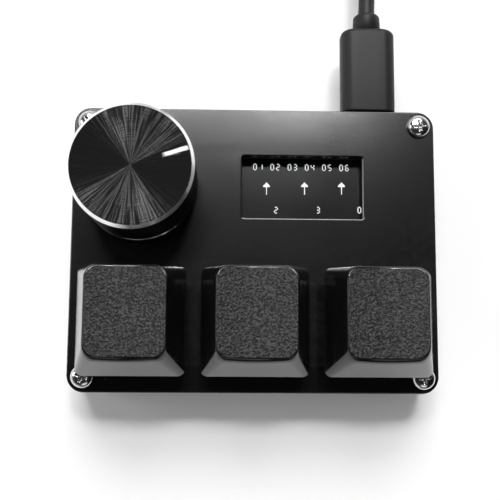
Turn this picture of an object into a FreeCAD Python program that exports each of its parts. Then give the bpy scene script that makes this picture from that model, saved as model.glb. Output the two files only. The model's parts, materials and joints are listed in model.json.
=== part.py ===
import FreeCAD, Part
import math
import os
import re

import Sketcher
from FreeCAD import Vector

# A macro keypad: three keys, a push-and-turn knob and a small screen on a plate,
# over a shallow case that holds the board, with its lead plugged in at the back.
# Millimetres, +X right, +Y away from the user, +Z up. The origin is on the table,
# below the middle of the case.

CASE_SIZES = {
    "side_margin": 3.7,
    "front_margin": 4.2,
    "case_corner_radius": 3.0,
    "case_floor": 2.0,
    "case_wall": 2.0,
    "case_bottom_bevel": 0.8,
    "corner_post": 4.4,
    "board_ledge": 1.6,
    "foot_stand": 1.5,
    "foot_diameter": 8.0,
    "foot_recess": 0.5,
    "foot_bevel": 0.4,
    "foot_inset": 7.5,
    "foot_clearance": 0.1,
}
PLATE_SIZES = {
    "plate_thickness": 1.6,
    "plate_bevel": 0.25,
    "screw_inset": 2.75,
    "encoder_cut": 14.0,
    "window_width": 21.6,
    "window_depth": 11.2,
    "window_corner_radius": 0.5,
    "window_bevel": 0.2,
    "window_x": 8.5,
}
SCREW_SIZES = {
    "screw_diameter": 2.0,
    "screw_length": 5.0,
    "screw_head": 4.0,
    "screw_head_height": 1.3,
    "screw_head_round": 0.8,
    "screw_recess_depth": 0.75,
    "screw_recess_width": 0.5,
    "screw_recess_span": 2.3,
    "screw_hole_clearance": 0.2,
    "thread_clearance": 0.03,
    "insert_diameter": 3.2,
    "insert_length": 4.0,
    "insert_groove": 0.25,
    "insert_clearance": 0.02,
    "insert_room": 0.5,
}
BOARD_SIZES = {
    "board_thickness": 1.6,
    "board_lift": 2.9,
    "board_to_plate": 5.0,
    "board_clearance": 0.25,
    "board_hole_clearance": 0.06,
    "led_width": 3.2,
    "led_depth": 2.8,
    "led_height": 1.4,
    "led_back": 4.6,
    "led_window_clearance": 0.1,
    "sensor_width": 2.9,
    "sensor_depth": 1.3,
    "sensor_height": 1.1,
    "sensor_forward": 3.8,
    "controller_side": 5.0,
    "controller_height": 0.9,
    "controller_bevel": 0.4,
    "controller_x": 3.0,
    "controller_y": 7.0,
    "crystal_width": 3.2,
    "crystal_depth": 2.5,
    "crystal_height": 0.7,
    "crystal_x": -3.5,
    "crystal_y": 7.0,
    "regulator_width": 2.9,
    "regulator_depth": 1.6,
    "regulator_height": 1.1,
    "regulator_x": 13.0,
    "regulator_y": 14.0,
    "capacitor_length": 1.6,
    "capacitor_width": 0.8,
    "capacitor_height": 0.8,
    "capacitor_pitch": 2.2,
    "capacitor_x": 10.0,
    "capacitor_y": 7.0,
}
KEY_SIZES = {
    "switch_body": 13.9,
    "switch_cut_clearance": 0.05,
    "switch_flange_lip": 0.85,
    "switch_flange_ledge": 0.8,
    "key_travel": 4.0,
    "key_end_gap": 0.1,
    "switch_flange_thickness": 0.9,
    "switch_corner_radius": 0.6,
    "switch_flange_radius": 1.1,
    "switch_wall": 0.9,
    "switch_base_floor": 1.2,
    "switch_post": 4.0,
    "switch_post_drop": 3.0,
    "switch_post_floor": 0.4,
    "switch_peg": 1.7,
    "switch_peg_drop": 1.4,
    "switch_peg_x": 5.08,
    "collar_diameter": 3.7,
    "collar_height": 1.2,
    "switch_top_taper": 14.5,
    "switch_top_height": 5.7,
    "switch_ceiling": 1.2,
    "throat_width": 7.3,
    "throat_depth": 5.8,
    "stem_clearance": 0.2,
    "skirt_width": 9.2,
    "skirt_depth": 7.0,
    "platform_width": 7.0,
    "platform_depth": 5.4,
    "platform_sink": 0.1,
    "cross_width": 4.0,
    "cross_arm_wide": 1.25,
    "cross_arm_deep": 1.05,
    "cross_height": 3.7,
    "cross_clearance": 0.04,
    "pole_diameter": 2.8,
    "pole_clearance": 0.1,
    "magnet_diameter": 2.0,
    "magnet_length": 2.6,
    "magnet_inset": 0.1,
    "magnet_clearance": 0.02,
    "spring_diameter": 4.3,
    "spring_wire": 0.34,
    "spring_pocket": 5.2,
    "spring_pocket_depth": 3.0,
    "spring_gap": 0.05,
    "light_slot_width": 4.0,
    "light_slot_depth": 1.0,
}
CAP_SIZES = {
    "cap_lift": 6.0,
    "cap_foot": 18.1,
    "cap_gap": 2.4,
    "cap_foot_radius": 0.9,
    "cap_top_width": 12.9,
    "cap_top_depth": 14.6,
    "cap_top_radius": 2.2,
    "cap_top_back": 1.1,
    "cap_height": 9.5,
    "cap_dish": 1.0,
    "cap_edge_round": 0.35,
    "cap_wall": 1.3,
    "cap_top_wall": 1.4,
    "cap_post": 5.5,
    "cap_post_gap": 0.1,
}
KNOB_SIZES = {
    "knob_side_margin": 1.75,
    "knob_back_margin": 3.85,
    "knob_gap": 4.8,
    "knob_lift": 2.1,
    "knob_diameter": 20.3,
    "knob_height": 14.1,
    "knob_wall": 1.5,
    "knob_top_wall": 2.0,
    "knob_bevel": 0.5,
    "knob_foot_bevel": 0.2,
    "knob_groove_height": 0.5,
    "knob_groove_depth": 0.3,
    "knob_groove_up": 1.4,
    "index_width": 0.7,
    "index_length": 3.7,
    "index_depth": 0.25,
    "index_angle": 17.5,
    "index_clearance": 0.03,
    "core_clearance": 0.05,
    "core_disc": 4.0,
    "core_hub": 9.6,
    "core_hub_gap": 0.15,
    "core_rim_wall": 1.2,
    "core_rim_drop": 5.5,
    "core_rib": 1.0,
}
ENCODER_SIZES = {
    "knob_travel": 0.5,
    "encoder_width": 11.7,
    "encoder_depth": 11.4,
    "encoder_corner_radius": 0.6,
    "encoder_base_height": 3.0,
    "encoder_floor": 0.8,
    "encoder_bore": 9.8,
    "encoder_housing_height": 3.5,
    "encoder_ceiling": 0.8,
    "bushing_diameter": 7.0,
    "bushing_length": 5.0,
    "bushing_bevel": 0.5,
    "bushing_clearance": 0.04,
    "clip_thickness": 0.35,
    "clip_leg": 6.0,
    "clip_gap": 0.02,
    "rotor_clearance": 0.2,
    "rotor_thickness": 1.2,
    "rotor_gap": 0.15,
    "shaft_diameter": 6.0,
    "shaft_gap": 0.2,
    "shaft_flat_length": 7.5,
    "shaft_flat_thickness": 4.5,
    "shaft_bevel": 0.4,
    "collar_width": 7.6,
    "collar_thickness": 0.6,
    "drive_side": 3.6,
    "drive_clearance": 0.05,
    "dome_radius": 2.2,
    "dome_sheet": 0.15,
    "dome_crown": 1.1,
    "dome_gap": 0.05,
    "pin_width": 0.8,
    "pin_thickness": 0.4,
    "pin_rise": 1.2,
    "pin_drop": 3.0,
    "pin_pitch": 2.5,
    "pin_hole": 1.2,
}
SCREEN_SIZES = {
    "screen_width": 26.0,
    "screen_depth": 16.6,
    "screen_gap": 0.5,
    "screen_glass": 0.7,
    "screen_ledge": 2.6,
    "tape_inset": 1.0,
    "tape_thickness": 0.3,
    "gasket_clearance": 0.2,
    "gasket_gap": 0.03,
    "gasket_back": 0.25,
    "ribbon_width": 12.0,
    "ribbon_sheet": 0.16,
    "ribbon_lap": 1.4,
    "ribbon_slope": 1.2,
    "ribbon_foot": 1.6,
}
SOCKET_SIZES = {
    "lead_side": 11.3,
    "socket_width": 8.94,
    "socket_height": 3.2,
    "socket_wall": 0.3,
    "socket_length": 7.0,
    "socket_back": 0.4,
    "socket_inset": 0.4,
    "socket_port_clearance": 0.2,
    "tongue_width": 6.7,
    "tongue_thickness": 0.7,
    "tongue_block": 0.6,
    "tongue_tip_inset": 0.9,
    "tongue_clearance": 0.02,
}
PLUG_SIZES = {
    "plug_width": 8.25,
    "plug_height": 2.4,
    "plug_wall": 0.3,
    "plug_length": 6.65,
    "plug_slot_width": 6.9,
    "plug_slot_height": 0.85,
    "plug_slot_depth": 5.2,
    "plug_gap": 0.4,
    "grip_width": 9.8,
    "grip_height": 5.8,
    "grip_corner_radius": 2.2,
    "grip_length": 15.6,
    "grip_shoulder": 1.6,
    "relief_diameter": 5.1,
    "relief_tip_diameter": 4.2,
    "relief_length": 3.3,
}
FAR_PLUG_SIZES = {
    "far_grip_width": 15.6,
    "far_grip_height": 8.0,
    "far_grip_corner_radius": 2.4,
    "far_grip_length": 22.0,
    "far_grip_taper": 5.0,
    "far_grip_tail_width": 6.4,
    "far_grip_tail_height": 6.0,
    "far_shell_width": 12.0,
    "far_shell_height": 4.5,
    "far_shell_wall": 0.3,
    "far_shell_length": 12.0,
    "far_tongue_height": 1.9,
    "far_tongue_inset": 0.5,
    "far_tongue_clearance": 0.05,
}
CABLE_SIZES = {
    "cable_diameter": 3.0,
    "coil_outer_radius": 24.5,
    "coil_turn_pitch": 3.5,
    "coil_layer_pitch": 3.45,
    "coil_dip": 0.8,
    "tie_width": 6.0,
    "tie_thickness": 0.5,
    "tie_gap": 0.12,
    "tie_rest": 0.03,
    "tie_corner_radius": 1.6,
}
SIZES = {
    **CASE_SIZES,
    **PLATE_SIZES,
    **SCREW_SIZES,
    **BOARD_SIZES,
    **KEY_SIZES,
    **CAP_SIZES,
    **KNOB_SIZES,
    **ENCODER_SIZES,
    **SCREEN_SIZES,
    **SOCKET_SIZES,
    **PLUG_SIZES,
    **FAR_PLUG_SIZES,
    **CABLE_SIZES,
}
# Sizes that follow from others. The keys stand a cap and a gap apart, and the plate is
# as wide as they and its side margins need. From front to back it holds a key, a gap
# and the knob, with margins.
# The shaft ends just under the knob's top, the screen stands against the socket, and
# the feet and the lead keep their distance from the plate's edges.
FOLLOWING = {
    "switch_cut": "switch_body + 2 * switch_cut_clearance",
    "switch_flange": "switch_body + 2 * switch_flange_lip",
    "switch_top_foot": "switch_flange - 2 * switch_flange_ledge",
    "key_pitch": "cap_foot + cap_gap",
    "key_front": "front_margin + switch_flange / 2",
    "case_width": "2 * (key_pitch + switch_flange / 2 + side_margin)",
    "key_and_knob": "cap_foot / 2 + knob_gap + knob_diameter",
    "case_depth": "key_front + key_and_knob + knob_back_margin",
    "key_y": "key_front - case_depth / 2",
    "knob_x": "knob_side_margin + knob_diameter / 2 - case_width / 2",
    "knob_y": "case_depth / 2 - knob_back_margin - knob_diameter / 2",
    "shaft_length": "board_to_plate + knob_lift + knob_height - knob_top_wall - shaft_gap",
    "foot_x": "case_width / 2 - foot_inset",
    "foot_y": "case_depth / 2 - foot_inset",
    "lead_x": "case_width / 2 - lead_side",
    "screen_back": "case_depth / 2 - socket_inset - socket_length - screen_gap",
    "window_y": "screen_back - gasket_back - gasket_clearance - window_depth / 2",
}
NAMES = {*SIZES, *FOLLOWING}
# How far a cut runs past the face that it opens.
OVERRUN = "case_wall"

# Levels and places that several pieces share, worked out from the sizes.
CASE_FLOOR_TOP = "(foot_stand + case_floor)"
BOARD_UNDERSIDE = f"({CASE_FLOOR_TOP} + board_lift)"
BOARD_TOP = f"({BOARD_UNDERSIDE} + board_thickness)"
PLATE_TOP = f"({BOARD_TOP} + board_to_plate)"
PLATE_UNDERSIDE = f"({PLATE_TOP} - plate_thickness)"
SCREW_X = "(case_width / 2 - screw_inset)"
SCREW_Y = "(case_depth / 2 - screw_inset)"
LEAD_Z = f"({BOARD_TOP} + socket_height / 2)"
SOCKET_MOUTH_Y = "(case_depth / 2 - socket_inset)"
GRIP_Y = "(case_depth / 2 + plug_gap)"
RELIEF_Y = f"({GRIP_Y} + grip_length)"
SKIRT_FOOT = "(switch_base_floor + key_end_gap + key_travel)"
SWITCH_TOP_Z = "(board_to_plate + switch_flange_thickness)"
PLATFORM_TOP = f"({SWITCH_TOP_Z} + switch_top_height - platform_sink)"
CEILING_Z = f"({SWITCH_TOP_Z} + switch_top_height - switch_ceiling)"
POLE_FOOT = "(0 - switch_post_drop + switch_post_floor + key_end_gap + key_travel)"
DOME_HEIGHT = "(knob_travel + dome_sheet)"
SHAFT_FOOT = f"(encoder_floor + {DOME_HEIGHT} + 2 * dome_gap)"
COIL_Z = "(tie_thickness + tie_gap + cable_diameter / 2 + tie_rest)"
COLLAR_TOP = "(encoder_base_height + encoder_housing_height - encoder_ceiling - dome_gap)"
BUSHING_TOP = "(encoder_base_height + encoder_housing_height + bushing_length)"
KEYS = {"left": "0 - key_pitch", "middle": "0", "right": "key_pitch"}
CORNERS = [(1, 1), (-1, 1), (-1, -1), (1, -1)]
# How near two places are when they count as the same.
SAME_PLACE = 1e-6

doc = FreeCAD.newDocument("macro_keypad")
sheet = doc.addObject("Spreadsheet::Sheet", "sizes")
pieces = []


def fill_sheet():
    """Write each size into the sheet beside its name: a number, or a formula over others."""
    cells = {name: str(value) for name, value in SIZES.items()}
    cells.update((name, f"={text}") for name, text in FOLLOWING.items())
    for row, (name, content) in enumerate(cells.items(), 1):
        sheet.set(f"A{row}", name)
        sheet.set(f"B{row}", content)
        sheet.setAlias(f"B{row}", name)
    doc.recompute()


def formula(text):
    """Point each size's name in a formula at its cell of the sheet."""

    def cell(word):
        return "sizes." + word.group() if word.group() in NAMES else word.group()

    return re.sub(r"[a-z][a-z_]*", cell, text)


def bind(thing, prop, text):
    """Bind a property to a formula over the sheet."""
    thing.setExpression(prop, formula(text))


def number(text):
    """What a formula over the sheet comes to now."""
    return float(sheet.evalExpression(formula(text)))


def place(thing, x="0", y="0", z="0"):
    """Bind where a piece stands."""
    bind(thing, "Placement.Base.x", x)
    bind(thing, "Placement.Base.y", y)
    bind(thing, "Placement.Base.z", z)


def piece(name, x="0", y="0", z="0"):
    """Start a piece that is kept, named as its file."""
    body = doc.addObject("PartDesign::Body", name)
    body.Label = name
    place(body, x, y, z)
    pieces.append(body)
    return body


def group(name, member, spots):
    """A kept piece made of equal solids, one at each spot."""
    links = []
    for index, (x, y, z) in enumerate(spots):
        link = doc.addObject("App::Link", f"{name}_{index + 1}")
        link.LinkedObject = member
        place(link, x, y, z)
        links.append(link)
    bundle = doc.addObject("Part::Compound", name)
    bundle.Label = name
    bundle.Links = links
    pieces.append(bundle)
    return bundle


def pattern_body(name):
    """A body that only lends its shape to a group."""
    return doc.addObject("PartDesign::Body", name)


def sketch(body, name, plane="XY_Plane", offset="0"):
    """A sketch on one of the body's own planes, moved along its normal."""
    drawing = body.newObject("Sketcher::SketchObject", f"{body.Name}_{name}")
    base = next(f for f in body.Origin.OriginFeatures if f.Role == plane)
    drawing.AttachmentSupport = (base, [""])
    drawing.MapMode = "FlatFace"
    bind(drawing, "AttachmentOffset.Base.z", offset)
    return drawing


def rule(drawing, name, constraint, text):
    """Add a constraint whose value follows a formula."""
    row = drawing.addConstraint(constraint)
    drawing.renameConstraint(row, name)
    bind(drawing, f"Constraints.{name}", text)


def pin(drawing, edge, end, x, y):
    """Tie one point of an edge to two formulas."""
    across = Sketcher.Constraint("DistanceX", -1, 1, edge, end, number(x))
    rule(drawing, f"x_{edge}_{end}", across, x)
    along = Sketcher.Constraint("DistanceY", -1, 1, edge, end, number(y))
    rule(drawing, f"y_{edge}_{end}", along, y)


def circle(drawing, diameter, x="0", y="0"):
    """A circle whose centre and diameter follow formulas."""
    centre = Vector(number(x), number(y), 0)
    ring = Part.Circle(centre, Vector(0, 0, 1), number(diameter) / 2)
    edge = drawing.addGeometry(ring, False)
    pin(drawing, edge, 3, x, y)
    across = Sketcher.Constraint("Diameter", edge, number(diameter))
    rule(drawing, f"diameter_{edge}", across, diameter)


def polygon(drawing, corners):
    """A closed outline with straight sides, each corner tied to its formulas."""
    first = drawing.GeometryCount
    spots = [Vector(number(x), number(y), 0) for x, y in corners]
    for spot, after in zip(spots, spots[1:] + spots[:1]):
        drawing.addGeometry(Part.LineSegment(spot, after), False)
    for index, (x, y) in enumerate(corners):
        edge = first + index
        following = first + (index + 1) % len(corners)
        drawing.addConstraint(Sketcher.Constraint("Coincident", edge, 2, following, 1))
        pin(drawing, edge, 1, x, y)


def rectangle(drawing, width, depth, x="0", y="0"):
    """A rectangle about a centre."""
    left, right = f"{x} - ({width}) / 2", f"{x} + ({width}) / 2"
    front, back = f"{y} - ({depth}) / 2", f"{y} + ({depth}) / 2"
    polygon(drawing, [(left, front), (right, front), (right, back), (left, back)])


def rounded_rectangle(drawing, width, depth, radius, x="0", y="0"):
    """A rectangle about a centre, with an arc at each corner."""
    first = drawing.GeometryCount
    middle = Vector(number(x), number(y), 0)
    turn = number(radius)
    half = Vector(number(width) / 2, number(depth) / 2, 0)
    centres = []
    for step, (side, end) in enumerate([(1, -1), (1, 1), (-1, 1), (-1, -1)]):
        centre = middle + Vector(side * (half.x - turn), end * (half.y - turn), 0)
        start = (step - 1) * math.pi / 2
        ring = Part.Circle(centre, Vector(0, 0, 1), turn)
        drawing.addGeometry(Part.ArcOfCircle(ring, start, start + math.pi / 2), False)
        centres.append((side, end))
    arcs = [drawing.Geometry[first + step] for step in range(4)]
    for step in range(4):
        line = Part.LineSegment(arcs[step].EndPoint, arcs[(step + 1) % 4].StartPoint)
        drawing.addGeometry(line, False)
    for step, (side, end) in enumerate(centres):
        arc, line = first + step, first + 4 + step
        following = first + (step + 1) % 4
        drawing.addConstraint(Sketcher.Constraint("Tangent", arc, 2, line, 1))
        drawing.addConstraint(Sketcher.Constraint("Tangent", line, 2, following, 1))
        across = f"{x} + {side} * (({width}) / 2 - {radius})"
        along = f"{y} + {end} * (({depth}) / 2 - {radius})"
        pin(drawing, arc, 3, across, along)
        bend = Sketcher.Constraint("Radius", arc, turn)
        rule(drawing, f"radius_{arc}", bend, radius)


def slot(drawing, width, height, x="0", y="0"):
    """A slot with round ends about a centre, lying along the sketch's X axis."""
    first = drawing.GeometryCount
    turn = number(height) / 2
    middle = Vector(number(x), number(y), 0)
    for side in (1, -1):
        centre = middle + Vector(side * (number(width) / 2 - turn), 0, 0)
        start = -side * math.pi / 2
        ring = Part.Circle(centre, Vector(0, 0, 1), turn)
        drawing.addGeometry(Part.ArcOfCircle(ring, start, start + math.pi), False)
    right, left = (drawing.Geometry[first + step] for step in range(2))
    drawing.addGeometry(Part.LineSegment(right.EndPoint, left.StartPoint), False)
    drawing.addGeometry(Part.LineSegment(left.EndPoint, right.StartPoint), False)
    for arc, line, other in ((first, first + 2, first + 1), (first + 1, first + 3, first)):
        drawing.addConstraint(Sketcher.Constraint("Tangent", arc, 2, line, 1))
        drawing.addConstraint(Sketcher.Constraint("Tangent", line, 2, other, 1))
    for arc, side in ((first, 1), (first + 1, -1)):
        pin(drawing, arc, 3, f"{x} + {side} * (({width}) - ({height})) / 2", y)
        bend = Sketcher.Constraint("Radius", arc, turn)
        rule(drawing, f"radius_{arc}", bend, f"({height}) / 2")


def add(body, kind, drawing, length, **settings):
    """Add a pad or a pocket from a sketch."""
    name = f"{drawing.Name}_{kind.lower()}"
    feature = body.newObject(f"PartDesign::{kind}", name)
    feature.Profile = drawing
    for prop, value in settings.items():
        setattr(feature, prop, value)
    if length:
        bind(feature, "Length", length)
    return feature


def pad(body, drawing, length, **settings):
    """Raise a sketch along its normal."""
    return add(body, "Pad", drawing, length, **settings)


def pocket(body, drawing, length, **settings):
    """Cut a sketch in against its normal, and see that it took something away."""
    doc.recompute()
    before = body.Shape.Volume
    feature = add(body, "Pocket", drawing, length, **settings)
    doc.recompute()
    if body.Shape.Volume >= before:
        raise ValueError(f"{feature.Name} cuts nothing")
    return feature


def turned(body, drawing, kind="Revolution"):
    """Turn a sketch once about its own vertical axis."""
    feature = body.newObject(f"PartDesign::{kind}", f"{drawing.Name}_turn")
    feature.Profile = drawing
    feature.ReferenceAxis = (drawing, ["V_Axis"])
    feature.Angle = 360
    return feature


def loft(body, drawings, kind="AdditiveLoft"):
    """Join sketches with straight-lined sides."""
    feature = body.newObject(f"PartDesign::{kind}", f"{drawings[0].Name}_loft")
    feature.Profile = drawings[0]
    feature.Sections = drawings[1:]
    feature.Ruled = True
    return feature


def edges_where(feature, wanted):
    """The names of a feature's edges that a test picks out."""
    doc.recompute()
    edges = enumerate(feature.Shape.Edges, 1)
    return [f"Edge{index}" for index, edge in edges if wanted(edge)]


def at_level(feature, text):
    """The edges of a feature that lie flat at a level of its body."""
    level = number(text)

    def wanted(edge):
        box = edge.BoundBox
        return abs(box.ZMin - level) < SAME_PLACE and abs(box.ZMax - level) < SAME_PLACE

    return edges_where(feature, wanted)


def at_hole(feature, text, width, depth, x, y):
    """The flat edges of a feature at a level that lie round one rectangular hole."""
    level, middle_x, middle_y = number(text), number(x), number(y)
    reach_x = number(width) / 2 + SAME_PLACE
    reach_y = number(depth) / 2 + SAME_PLACE

    def wanted(edge):
        box = edge.BoundBox
        flat = abs(box.ZMin - level) < SAME_PLACE and abs(box.ZMax - level) < SAME_PLACE
        beside = abs(box.XMin - middle_x) < reach_x and abs(box.XMax - middle_x) < reach_x
        along = abs(box.YMin - middle_y) < reach_y and abs(box.YMax - middle_y) < reach_y
        return flat and beside and along

    return edges_where(feature, wanted)


def dress(body, kind, feature, edges, size):
    """Chamfer or round the named edges of a feature."""
    dressing = body.newObject(f"PartDesign::{kind}", f"{feature.Name}_{kind.lower()}")
    dressing.Base = (feature, edges)
    prop = "Size" if kind == "Chamfer" else "Radius"
    bind(dressing, prop, size)
    return dressing


def notched_rectangle(drawing, width, depth, inner_width, inner_depth):
    """A rectangle that leaves out a square at each corner."""
    x, y = f"({width}) / 2", f"({depth}) / 2"
    short_x, short_y = f"({inner_width}) / 2", f"({inner_depth}) / 2"
    corners = []
    for side, end in CORNERS:
        stretch = [(short_x, y), (short_x, short_y), (x, short_y)]
        if side * end > 0:
            stretch.reverse()
        corners += [(f"{side} * {a}", f"{end} * {b}") for a, b in stretch]
    polygon(drawing, corners)


def at_corners(x, y, z):
    """The same spot at the four corners."""
    return [(f"{side} * {x}", f"{end} * {y}", z) for side, end in CORNERS]


def top_plate():
    """The face plate with its cut-outs for switches, encoder, screen and screws."""
    plate = piece("top_plate", z=PLATE_UNDERSIDE)
    outline = sketch(plate, "outline")
    rounded_rectangle(outline, "case_width", "case_depth", "case_corner_radius")
    blank = pad(plate, outline, "plate_thickness")
    dress(plate, "Chamfer", blank, at_level(blank, "plate_thickness"), "plate_bevel")
    cuts = sketch(plate, "cuts", offset="plate_thickness")
    for x in KEYS.values():
        rectangle(cuts, "switch_cut", "switch_cut", x, "key_y")
    rectangle(cuts, "encoder_cut", "encoder_cut", "knob_x", "knob_y")
    for x, y, _ in at_corners(SCREW_X, SCREW_Y, "0"):
        circle(cuts, "screw_diameter + 2 * screw_hole_clearance", x, y)
    pocket(plate, cuts, None, Type="ThroughAll")
    window = sketch(plate, "window", offset="plate_thickness")
    frame = ("window_width", "window_depth")
    middle = ("window_x", "window_y")
    rounded_rectangle(window, *frame, "window_corner_radius", *middle)
    opening = pocket(plate, window, None, Type="ThroughAll")
    rim = at_hole(opening, "plate_thickness", *frame, *middle)
    dress(plate, "Chamfer", opening, rim, "window_bevel")


def bottom_case():
    """The tray under the plate: corner posts, board ledges, port and foot recesses."""
    case = piece("bottom_case", z="foot_stand")
    height = f"({PLATE_UNDERSIDE} - foot_stand)"
    outline = sketch(case, "outline")
    rounded_rectangle(outline, "case_width", "case_depth", "case_corner_radius")
    block = pad(case, outline, height)
    dress(case, "Chamfer", block, at_level(block, "0"), "case_bottom_bevel")
    room_width, room_depth = "case_width - 2 * case_wall", "case_depth - 2 * case_wall"
    post_width = f"2 * {SCREW_X} - corner_post"
    post_depth = f"2 * {SCREW_Y} - corner_post"
    board_room = sketch(case, "board_room", offset=height)
    notched_rectangle(board_room, room_width, room_depth, post_width, post_depth)
    pocket(case, board_room, f"{height} - ({BOARD_UNDERSIDE} - foot_stand)")
    lower_room = sketch(case, "lower_room", offset=f"{BOARD_UNDERSIDE} - foot_stand")
    notched_rectangle(
        lower_room,
        room_width,
        room_depth,
        f"{post_width} - 2 * board_ledge",
        f"{post_depth} - 2 * board_ledge",
    )
    pocket(case, lower_room, "board_lift")
    bores = sketch(case, "insert_bores", offset=height)
    recesses = sketch(case, "foot_recesses")
    for x, y, _ in at_corners(SCREW_X, SCREW_Y, "0"):
        circle(bores, "insert_diameter + 2 * insert_clearance", x, y)
    for x, y, _ in at_corners("foot_x", "foot_y", "0"):
        circle(recesses, "foot_diameter + 2 * foot_clearance", x, y)
    pocket(case, bores, "insert_length + insert_room")
    pocket(case, recesses, "foot_recess", Reversed=True)
    port = sketch(case, "port", "XZ_Plane", f"0 - case_depth / 2 - {OVERRUN}")
    port_width = "socket_width + 2 * socket_port_clearance"
    port_height = "socket_height + 2 * socket_port_clearance"
    slot(port, port_width, port_height, "lead_x", f"{LEAD_Z} - foot_stand")
    pocket(case, port, f"case_wall * 3 / 2 + {OVERRUN}", Reversed=True)


def plate_screws():
    """Four pan-head screws with a cross recess."""
    screw = pattern_body("plate_screw")
    outline = sketch(screw, "outline", "XZ_Plane")
    polygon(
        outline,
        [
            ("0", "0 - screw_length"),
            ("screw_diameter / 4", "0 - screw_length"),
            ("screw_diameter / 2", "0 - screw_length + screw_diameter / 4"),
            ("screw_diameter / 2", "0"),
            ("screw_head / 2", "0"),
            ("screw_head / 2", "screw_head_height"),
            ("0", "screw_head_height"),
        ],
    )
    blank = turned(screw, outline)
    rim = at_level(blank, "screw_head_height")
    dress(screw, "Fillet", blank, rim, "screw_head_round")
    cross = sketch(screw, "cross", offset="screw_head_height")
    a, b = "screw_recess_span / 2", "screw_recess_width / 2"
    arm = [(a, b), (b, b), (b, a)]
    corners = []
    for side, end in CORNERS:
        stretch = arm if side * end > 0 else arm[::-1]
        corners += [(f"{side} * {x}", f"{end} * {y}") for x, y in stretch]
    polygon(cross, corners)
    pocket(screw, cross, "screw_recess_depth")
    group("plate_screws", screw, at_corners(SCREW_X, SCREW_Y, PLATE_TOP))


def threaded_inserts():
    """Four brass inserts pressed into the corner posts, with a groove for grip."""
    insert = pattern_body("threaded_insert")
    outline = sketch(insert, "outline", "XZ_Plane")
    inner = "screw_diameter / 2 + thread_clearance"
    outer = "insert_diameter / 2"
    waist = "insert_diameter / 2 - insert_groove"
    polygon(
        outline,
        [
            (inner, "0 - insert_length"),
            (outer, "0 - insert_length"),
            (outer, "0 - insert_length * 2 / 3"),
            (waist, "0 - insert_length * 2 / 3"),
            (waist, "0 - insert_length / 3"),
            (outer, "0 - insert_length / 3"),
            (outer, "0"),
            (inner, "0"),
        ],
    )
    turned(insert, outline)
    group("threaded_inserts", insert, at_corners(SCREW_X, SCREW_Y, PLATE_UNDERSIDE))


def rubber_feet():
    """Four round feet, each let into its recess."""
    foot = pattern_body("rubber_foot")
    outline = sketch(foot, "outline", "XZ_Plane")
    polygon(
        outline,
        [
            ("0", "0"),
            ("foot_diameter / 2 - foot_bevel", "0"),
            ("foot_diameter / 2", "foot_bevel"),
            ("foot_diameter / 2", "foot_stand + foot_recess"),
            ("0", "foot_stand + foot_recess"),
        ],
    )
    turned(foot, outline)
    group("rubber_feet", foot, at_corners("foot_x", "foot_y", "0"))


def main_board():
    """The board, notched round the corner posts, with the holes that its parts need."""
    board = piece("main_board", z=BOARD_UNDERSIDE)
    outline = sketch(board, "outline")
    gap = "2 * board_clearance"
    notched_rectangle(
        outline,
        f"case_width - 2 * case_wall - {gap}",
        f"case_depth - 2 * case_wall - {gap}",
        f"2 * {SCREW_X} - corner_post - {gap}",
        f"2 * {SCREW_Y} - corner_post - {gap}",
    )
    play = "2 * board_hole_clearance"
    for x in KEYS.values():
        circle(outline, f"switch_post + {play}", x, "key_y")
        for side in ("-", "+"):
            circle(outline, f"switch_peg + {play}", f"{x} {side} switch_peg_x", "key_y")
        window = "2 * led_window_clearance"
        led_y = "key_y + led_back"
        rectangle(outline, f"led_width + {window}", f"led_depth + {window}", x, led_y)
    for x, y in encoder_pin_spots():
        circle(outline, "pin_hole", f"knob_x + {x}", f"knob_y + {y}")
    pad(board, outline, "board_thickness")


def encoder_pin_spots():
    """Where the encoder's pins stand: three in front and two behind."""
    row = "(encoder_depth / 2 + pin_thickness / 2 + clip_gap)"
    front = [(x, f"0 - {row}") for x in ("0 - pin_pitch", "0", "pin_pitch")]
    return front + [(x, row) for x in ("0 - pin_pitch", "pin_pitch")]


def chip(name, width, depth, height, x, y):
    """A flat part on the underside of the board."""
    body = piece(name, x, y, f"{BOARD_UNDERSIDE} - {height}")
    outline = sketch(body, "outline")
    rectangle(outline, width, depth)
    return body, pad(body, outline, height)


def board_parts():
    """The controller and the small parts, on the underside of the board."""
    controller, block = chip(
        "microcontroller",
        "controller_side",
        "controller_side",
        "controller_height",
        "controller_x",
        "controller_y",
    )

    def first_corner(edge):
        box = edge.BoundBox
        upright = box.ZLength > number("controller_height") / 2
        return upright and box.XMax < 0 and box.YMax < 0

    corner = edges_where(block, first_corner)
    dress(controller, "Chamfer", block, corner, "controller_bevel")
    chip("crystal_can", "crystal_width", "crystal_depth", "crystal_height", "crystal_x", "crystal_y")
    chip(
        "voltage_regulator",
        "regulator_width",
        "regulator_depth",
        "regulator_height",
        "regulator_x",
        "regulator_y",
    )
    capacitor = pattern_body("capacitor")
    outline = sketch(capacitor, "outline")
    rectangle(outline, "capacitor_length", "capacitor_width")
    pad(capacitor, outline, "capacitor_height")
    level = f"{BOARD_UNDERSIDE} - capacitor_height"
    spots = [
        ("capacitor_x", f"capacitor_y + {step} * capacitor_pitch", level) for step in range(4)
    ]
    group("board_capacitors", capacitor, spots)


def key_electronics():
    """A magnetic sensor in front of each switch post and a light behind it."""
    sensor = pattern_body("hall_sensor")
    outline = sketch(sensor, "outline")
    rectangle(outline, "sensor_width", "sensor_depth")
    pad(sensor, outline, "sensor_height")
    level = f"{BOARD_UNDERSIDE} - sensor_height"
    group("hall_sensors", sensor, [(x, "key_y - sensor_forward", level) for x in KEYS.values()])
    light = pattern_body("key_light")
    outline = sketch(light, "outline")
    rectangle(outline, "led_width", "led_depth")
    body = pad(light, outline, "led_height")
    dress(light, "Chamfer", body, at_level(body, "led_height"), "led_height / 4")
    level = f"{BOARD_TOP} - led_height"
    group("key_lights", light, [(x, "key_y + led_back", level) for x in KEYS.values()])


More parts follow.
